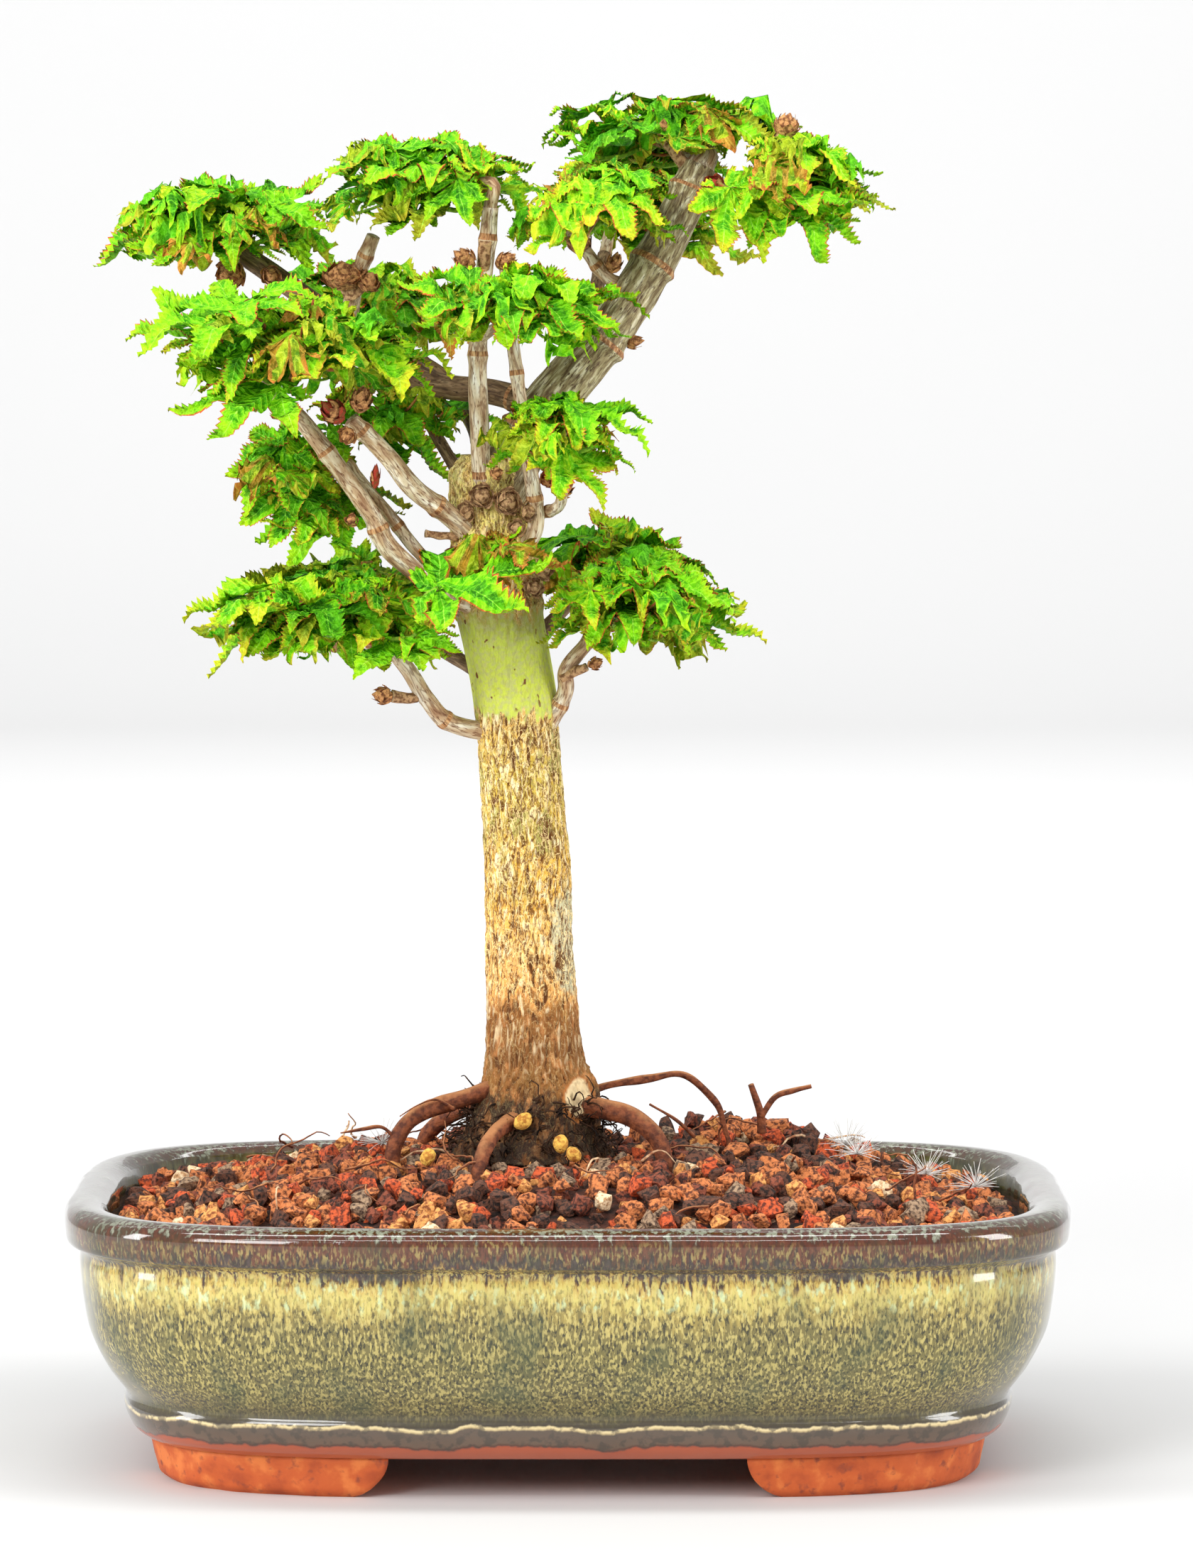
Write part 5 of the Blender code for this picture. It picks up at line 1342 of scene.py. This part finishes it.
def blade_kind(seed, young):
    """One blade of length 1, made of its lobes; a young one is small-toothed and crumpled up."""
    dice = random.Random(seed)
    points, faces, kinds, marks, count = [], [], [], [], 0
    for angle, reach in [lobe[:2] for lobe in LOBES] + list(HEEL_LOBES):
        teeth = (LOBE_TEETH if reach > 0.6 else HEEL_TEETH)[young]
        strip = lobe_strip(angle + dice.uniform(-4, 4), reach * dice.uniform(0.88, 1.0), LOBE_SPREAD,
                           YOUNG_ACROSS if young else ACROSS, 2 if young else 4, teeth, dice)
        points.append(strip[0])
        faces.append(strip[1] + count)
        kinds += strip[2]
        marks += strip[3]
        count += len(strip[0])
    points = np.concatenate(points)
    if young:
        flat = np.linalg.norm(points[:, :2], axis=1)
        points[:, 2] += CRUMPLE_UP * ripple(points, CRUMPLE_SIZE, seed) - CUPPING * flat ** 2
        points[:, 0] += CRUMPLE_ASIDE * ripple(points, CRUMPLE_SIZE, seed + 40)
        points[:, 1] += CRUMPLE_ASIDE * ripple(points, CRUMPLE_SIZE, seed + 80)
    return points, np.concatenate(faces), np.array(kinds), np.array(marks)


# leaf green, its darker patches, the colour that it turns to at the edge
LEAF_GREENS = (
    ("vivid_green_leaf", (136, 226, 10), (64, 162, 6), (182, 224, 18)),
    ("lime_green_leaf", (182, 234, 22), (112, 200, 10), (220, 212, 34)),
    ("deep_green_leaf", (92, 188, 8), (44, 120, 6), (134, 208, 14)),
    ("olive_leaf", (168, 190, 26), (84, 132, 12), (190, 174, 38)),
    ("bronze_leaf", (186, 142, 36), (116, 104, 18), (206, 122, 48)),
)
VIVID, LIME, DEEP, OLIVE, BRONZE = range(5)
# a leaf's middle and its outer part, with weights for grown leaves in front, behind, and young; behind, the
# deep greens are weighted up as painted shade
LEAF_LOOKS = (((VIVID, LIME), 6, 3, 1.5), ((VIVID, VIVID), 8, 5, 2), ((DEEP, VIVID), 4, 5, 2.5),
              ((DEEP, DEEP), 1, 4, 1), ((VIVID, OLIVE), 1, 2, 3), ((LIME, LIME), 2, 1, 1),
              ((OLIVE, OLIVE), 0.3, 1.5, 4), ((OLIVE, BRONZE), 0.15, 0.4, 1.6), ((DEEP, OLIVE), 0.6, 2, 3.5))
OUTER_LOOKS = 3          # the leaves that stand out are bright
VEIN_SPACING = 1.7       # between a lobe's side veins (mm)


def leaf_paint(name, colour, darker, margin):
    """Leaf skin: pleated between its side veins, and turning to another colour at the edge."""
    paint = Paint(name, 0.55, Specular_IOR_Level=0.15)
    kept = paint.node("SeparateXYZ", {"Vector": paint.place(1000, "grain")}).outputs
    slant = paint.plus(paint.times(kept["Y"], -0.75, kept["X"]), paint.times(paint.cloud(3), 2.0))
    pleat = paint.math("PINGPONG", slant, VEIN_SPACING / 2)
    turning = paint.ramp(paint.plus(kept["Z"], paint.sway(paint.cloud(3.4), 0.9)), 0.70, 1.05)
    lighter = tuple(min(255, c + 40) for c in colour)
    skin = paint.laid(colour, (paint.cloud(2.6, 4, (0.40, 0.62)), darker), (turning, margin),
                      (paint.times(paint.strands(1.1, 0.035), 0.4), lighter),
                      (paint.ramp(pleat, 0.24, 0.08, 0.5), lighter))
    return paint.dress(skin, paint.times(paint.cloud(0.7, 4), 0.8, pleat), 0.0006)


leaf_paints = [leaf_paint(*row) for row in LEAF_GREENS]
leaf_paints += [leaf_paint("pale_leaf_rib", (158, 226, 60), (96, 190, 24), (214, 226, 90)),
                leaf_paint("rust_leaf_teeth", (206, 120, 40), (140, 74, 24), (210, 98, 44)),
                leaf_paint("gold_leaf_teeth", (214, 186, 44), (136, 136, 22), (224, 160, 50))]
RIB_SLOT, RUST_SLOT, GOLD_SLOT = (len(LEAF_GREENS) + i for i in range(3))
blades = [[blade_kind(seed, young) for seed in range(YOUNG_KINDS if young else BLADE_KINDS)]
          for young in (False, True)]

dice = random.Random(8)
PIECE_FACES = 95000      # a joined piece of blades is closed at this many four-sided faces
FRONT_TO = 10            # mm, masses whose middle is nearer than this are in front
LEAF_WAVES = ((0.0042, 0.0014, 3), (0.0018, 0.0005, 4))
STALK_RADII, YOUNG_STALK, GREEN_STALKS = (0.00066, 0.00044), 0.6, 0.7
STALK_BACK = 0.12        # behind the blade's base, as a share of its length
STALK_SAG, STALK_UNDER_HEEL, STALK_UNDER_BLADE = 0.0012, 0.0016, 0.0003
TWIG_TIP_RADIUS = 0.0007
STEM_OVERLAP = 0.0015    # how far a stem begins inside its bough
leaf_shapes, stalks, wood_ends = Shapes(), Shapes(), Shapes()
leaf_pieces, leaf_marks, wood_grain = [leaf_shapes], [[]], []
for (name, _, centre, *_), (stem, radius, ends, leaves) in zip(MASSES, grown):
    front = centre[1] < FRONT_TO
    for leaf, root, sort in leaves:
        young = sort == "young"
        base, forward, normal, length, droop = leaf
        points, faces, kinds, marks = dice.choice(blades[young])
        flat = np.linalg.norm(points[:, :2], axis=1)
        bent = points - np.outer(droop * flat ** 2, (0, 0, 1))
        axes = np.array([tuple(forward), tuple(normal.cross(forward)), tuple(normal)])
        placed = np.array(base) + bent @ axes * length
        placed += np.outer(waves(placed, LEAF_WAVES), tuple(normal))
        # leaves of masses behind draw the deeper greens more often, as painted shade
        weights = [row[3 if young else 1 if front else 2] for row in LEAF_LOOKS]
        looks = OUTER_LOOKS if sort == "outer" else len(LEAF_LOOKS)
        inner, outer = dice.choices(LEAF_LOOKS[:looks], weights[:looks])[0][0]
        teeth = dice.choices((RUST_SLOT, GOLD_SLOT, outer), (5, 1, 3))[0]
        slots = np.choose(kinds, (inner, outer, RIB_SLOT, teeth))
        if len(leaf_shapes.faces) > PIECE_FACES:
            leaf_shapes = Shapes()
            leaf_pieces.append(leaf_shapes)
            leaf_marks.append([])
        leaf_shapes.add(placed, faces, slots)
        leaf_marks[-1].append(marks * (length, length, 1))
        heel = base - forward * STALK_BACK * length - normal * STALK_UNDER_HEEL
        stalk = smooth_path([root, root.lerp(heel, 0.55) - Vector((0, 0, STALK_SAG)), heel,
                             base - normal * STALK_UNDER_BLADE], 3)
        thick = YOUNG_STALK if young else 1.0
        add_limb(stalks, stalk, thick * eased(stalk, *STALK_RADII), 5,
                 slots=0 if dice.random() < GREEN_STALKS else 1)
    path = [stem[0] - (stem[1] - stem[0]).normalized() * STEM_OVERLAP, *stem[1:]]
    path = smooth_path(path, 4)
    wood_grain.append(add_limb(wood_ends, path, eased(path, radius, TWIG_RADIUS), 16, 0.00012))
    for end, _, _ in ends:
        path = smooth_path([stem[-1].lerp(end, -0.1), stem[-1].lerp(end, 0.5), end], 4)
        wood_grain.append(add_limb(wood_ends, path, eased(path, TWIG_RADIUS, TWIG_TIP_RADIUS), 10, 0.0001,
                                   slots=1))
for number, (shapes, kept) in enumerate(zip(leaf_pieces, leaf_marks)):
    piece = shapes.make(f"leaf_blades_{number}", leaf_paints, "maple_leaf")
    keep_grain(piece, kept)
    if number == 0:
        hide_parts(*(row[0] for row in MASSES))
green_stalk = grain_paint("green_stalk", (150, 196, 48), (104, 150, 28))
red_stalk = grain_paint("red_stalk", (186, 88, 46), (140, 130, 46))
stalks.make("leaf_stalks", [green_stalk, red_stalk], "maple_leaf")
twig_piece = wood_ends.make("twigs", [young_wood, scar_wood], "maple_leaf")
keep_grain(twig_piece, wood_grain)

# The studio: one pale sheet for the floor that sweeps up behind, lit softly from all round.
SHEET_WIDTH, SHEET_FRONT, SHEET_BACK, SWEEP, SHEET_TOP = 12.0, -6.0, 2.6, 0.8, 0.9
sheet_paint = mottled("pale_floor", 0.7, 900, 3, ((0.3, 0.62), (0.7, 0.64)))
profile = [(SHEET_FRONT, 0.0)] + [
    (SHEET_BACK + SWEEP * math.sin(a), SWEEP * (1 - math.cos(a)))
    for a in np.linspace(0, math.pi / 2, 24)] + [(SHEET_BACK + SWEEP, SHEET_TOP)]
sheet = Shapes()
sheet.add([(x, y, z) for y, z in profile for x in (-SHEET_WIDTH / 2, SHEET_WIDTH / 2)],
          strip_quads(len(profile), 2))
floor = sheet.join("floor", [sheet_paint])

ROOM_LIGHT = 0.56
world = bpy.data.worlds.new("studio")
bpy.context.scene.world = world
world.use_nodes = True
world.node_tree.nodes["Background"].inputs["Color"].default_value = (1, 1, 1, 1)
world.node_tree.nodes["Background"].inputs["Strength"].default_value = ROOM_LIGHT
bpy.context.scene.view_settings.view_transform = "Standard"

# name, place, aim, width and height (m), power (W)
LAMPS = (("front_lamp", (-0.7, -1.3, 0.75), (0, 0, 0.15), (0.6, 0.6), 12.5),
         ("strip_lamp", (0.0, -0.9, 0.95), (0, -0.08, 0.06), (1.3, 0.04), 3.0),
         ("top_lamp", (0.0, -0.15, 1.25), (0, 0, 0.1), (1.4, 0.2), 9.0),
         ("left_lamp", (-1.3, -0.35, 0.45), (0, 0, 0.12), (0.35, 0.9), 11.0),
         ("right_lamp", (1.3, -0.45, 0.45), (0, 0, 0.12), (0.35, 0.9), 11.0),
         ("backdrop_lamp", (0.0, 1.2, 1.7), (0, 3.0, 0.2), (2.6, 1.0), 56.0))
for name, place, aim, (width, height), power in LAMPS:
    lamp = bpy.data.lights.new(name, "AREA")
    lamp.shape = "RECTANGLE"
    lamp.size, lamp.size_y = width, height
    lamp.energy = power
    holder = put(name, lamp)
    holder.location = place
    holder.rotation_euler = (Vector(aim) - Vector(place)).to_track_quat("-Z", "Y").to_euler()

# The camera stands 1.5 m in front, level with the crown, and looks 4 degrees down.
CAMERA_PLACE = (0.00621, -1.5, 0.25365)
CAMERA_DOWN = 4.0153
FOCAL_PIXELS = 9599.2
FRAME_HEIGHT = 2209
camera = bpy.data.cameras.new("camera")
camera.sensor_fit = "VERTICAL"
camera.sensor_height = 36.0
camera.lens = FOCAL_PIXELS * camera.sensor_height / FRAME_HEIGHT
viewer = put("camera", camera)
viewer.location = CAMERA_PLACE
viewer.rotation_euler = (math.radians(90 - CAMERA_DOWN), 0, 0)
bpy.context.scene.camera = viewer
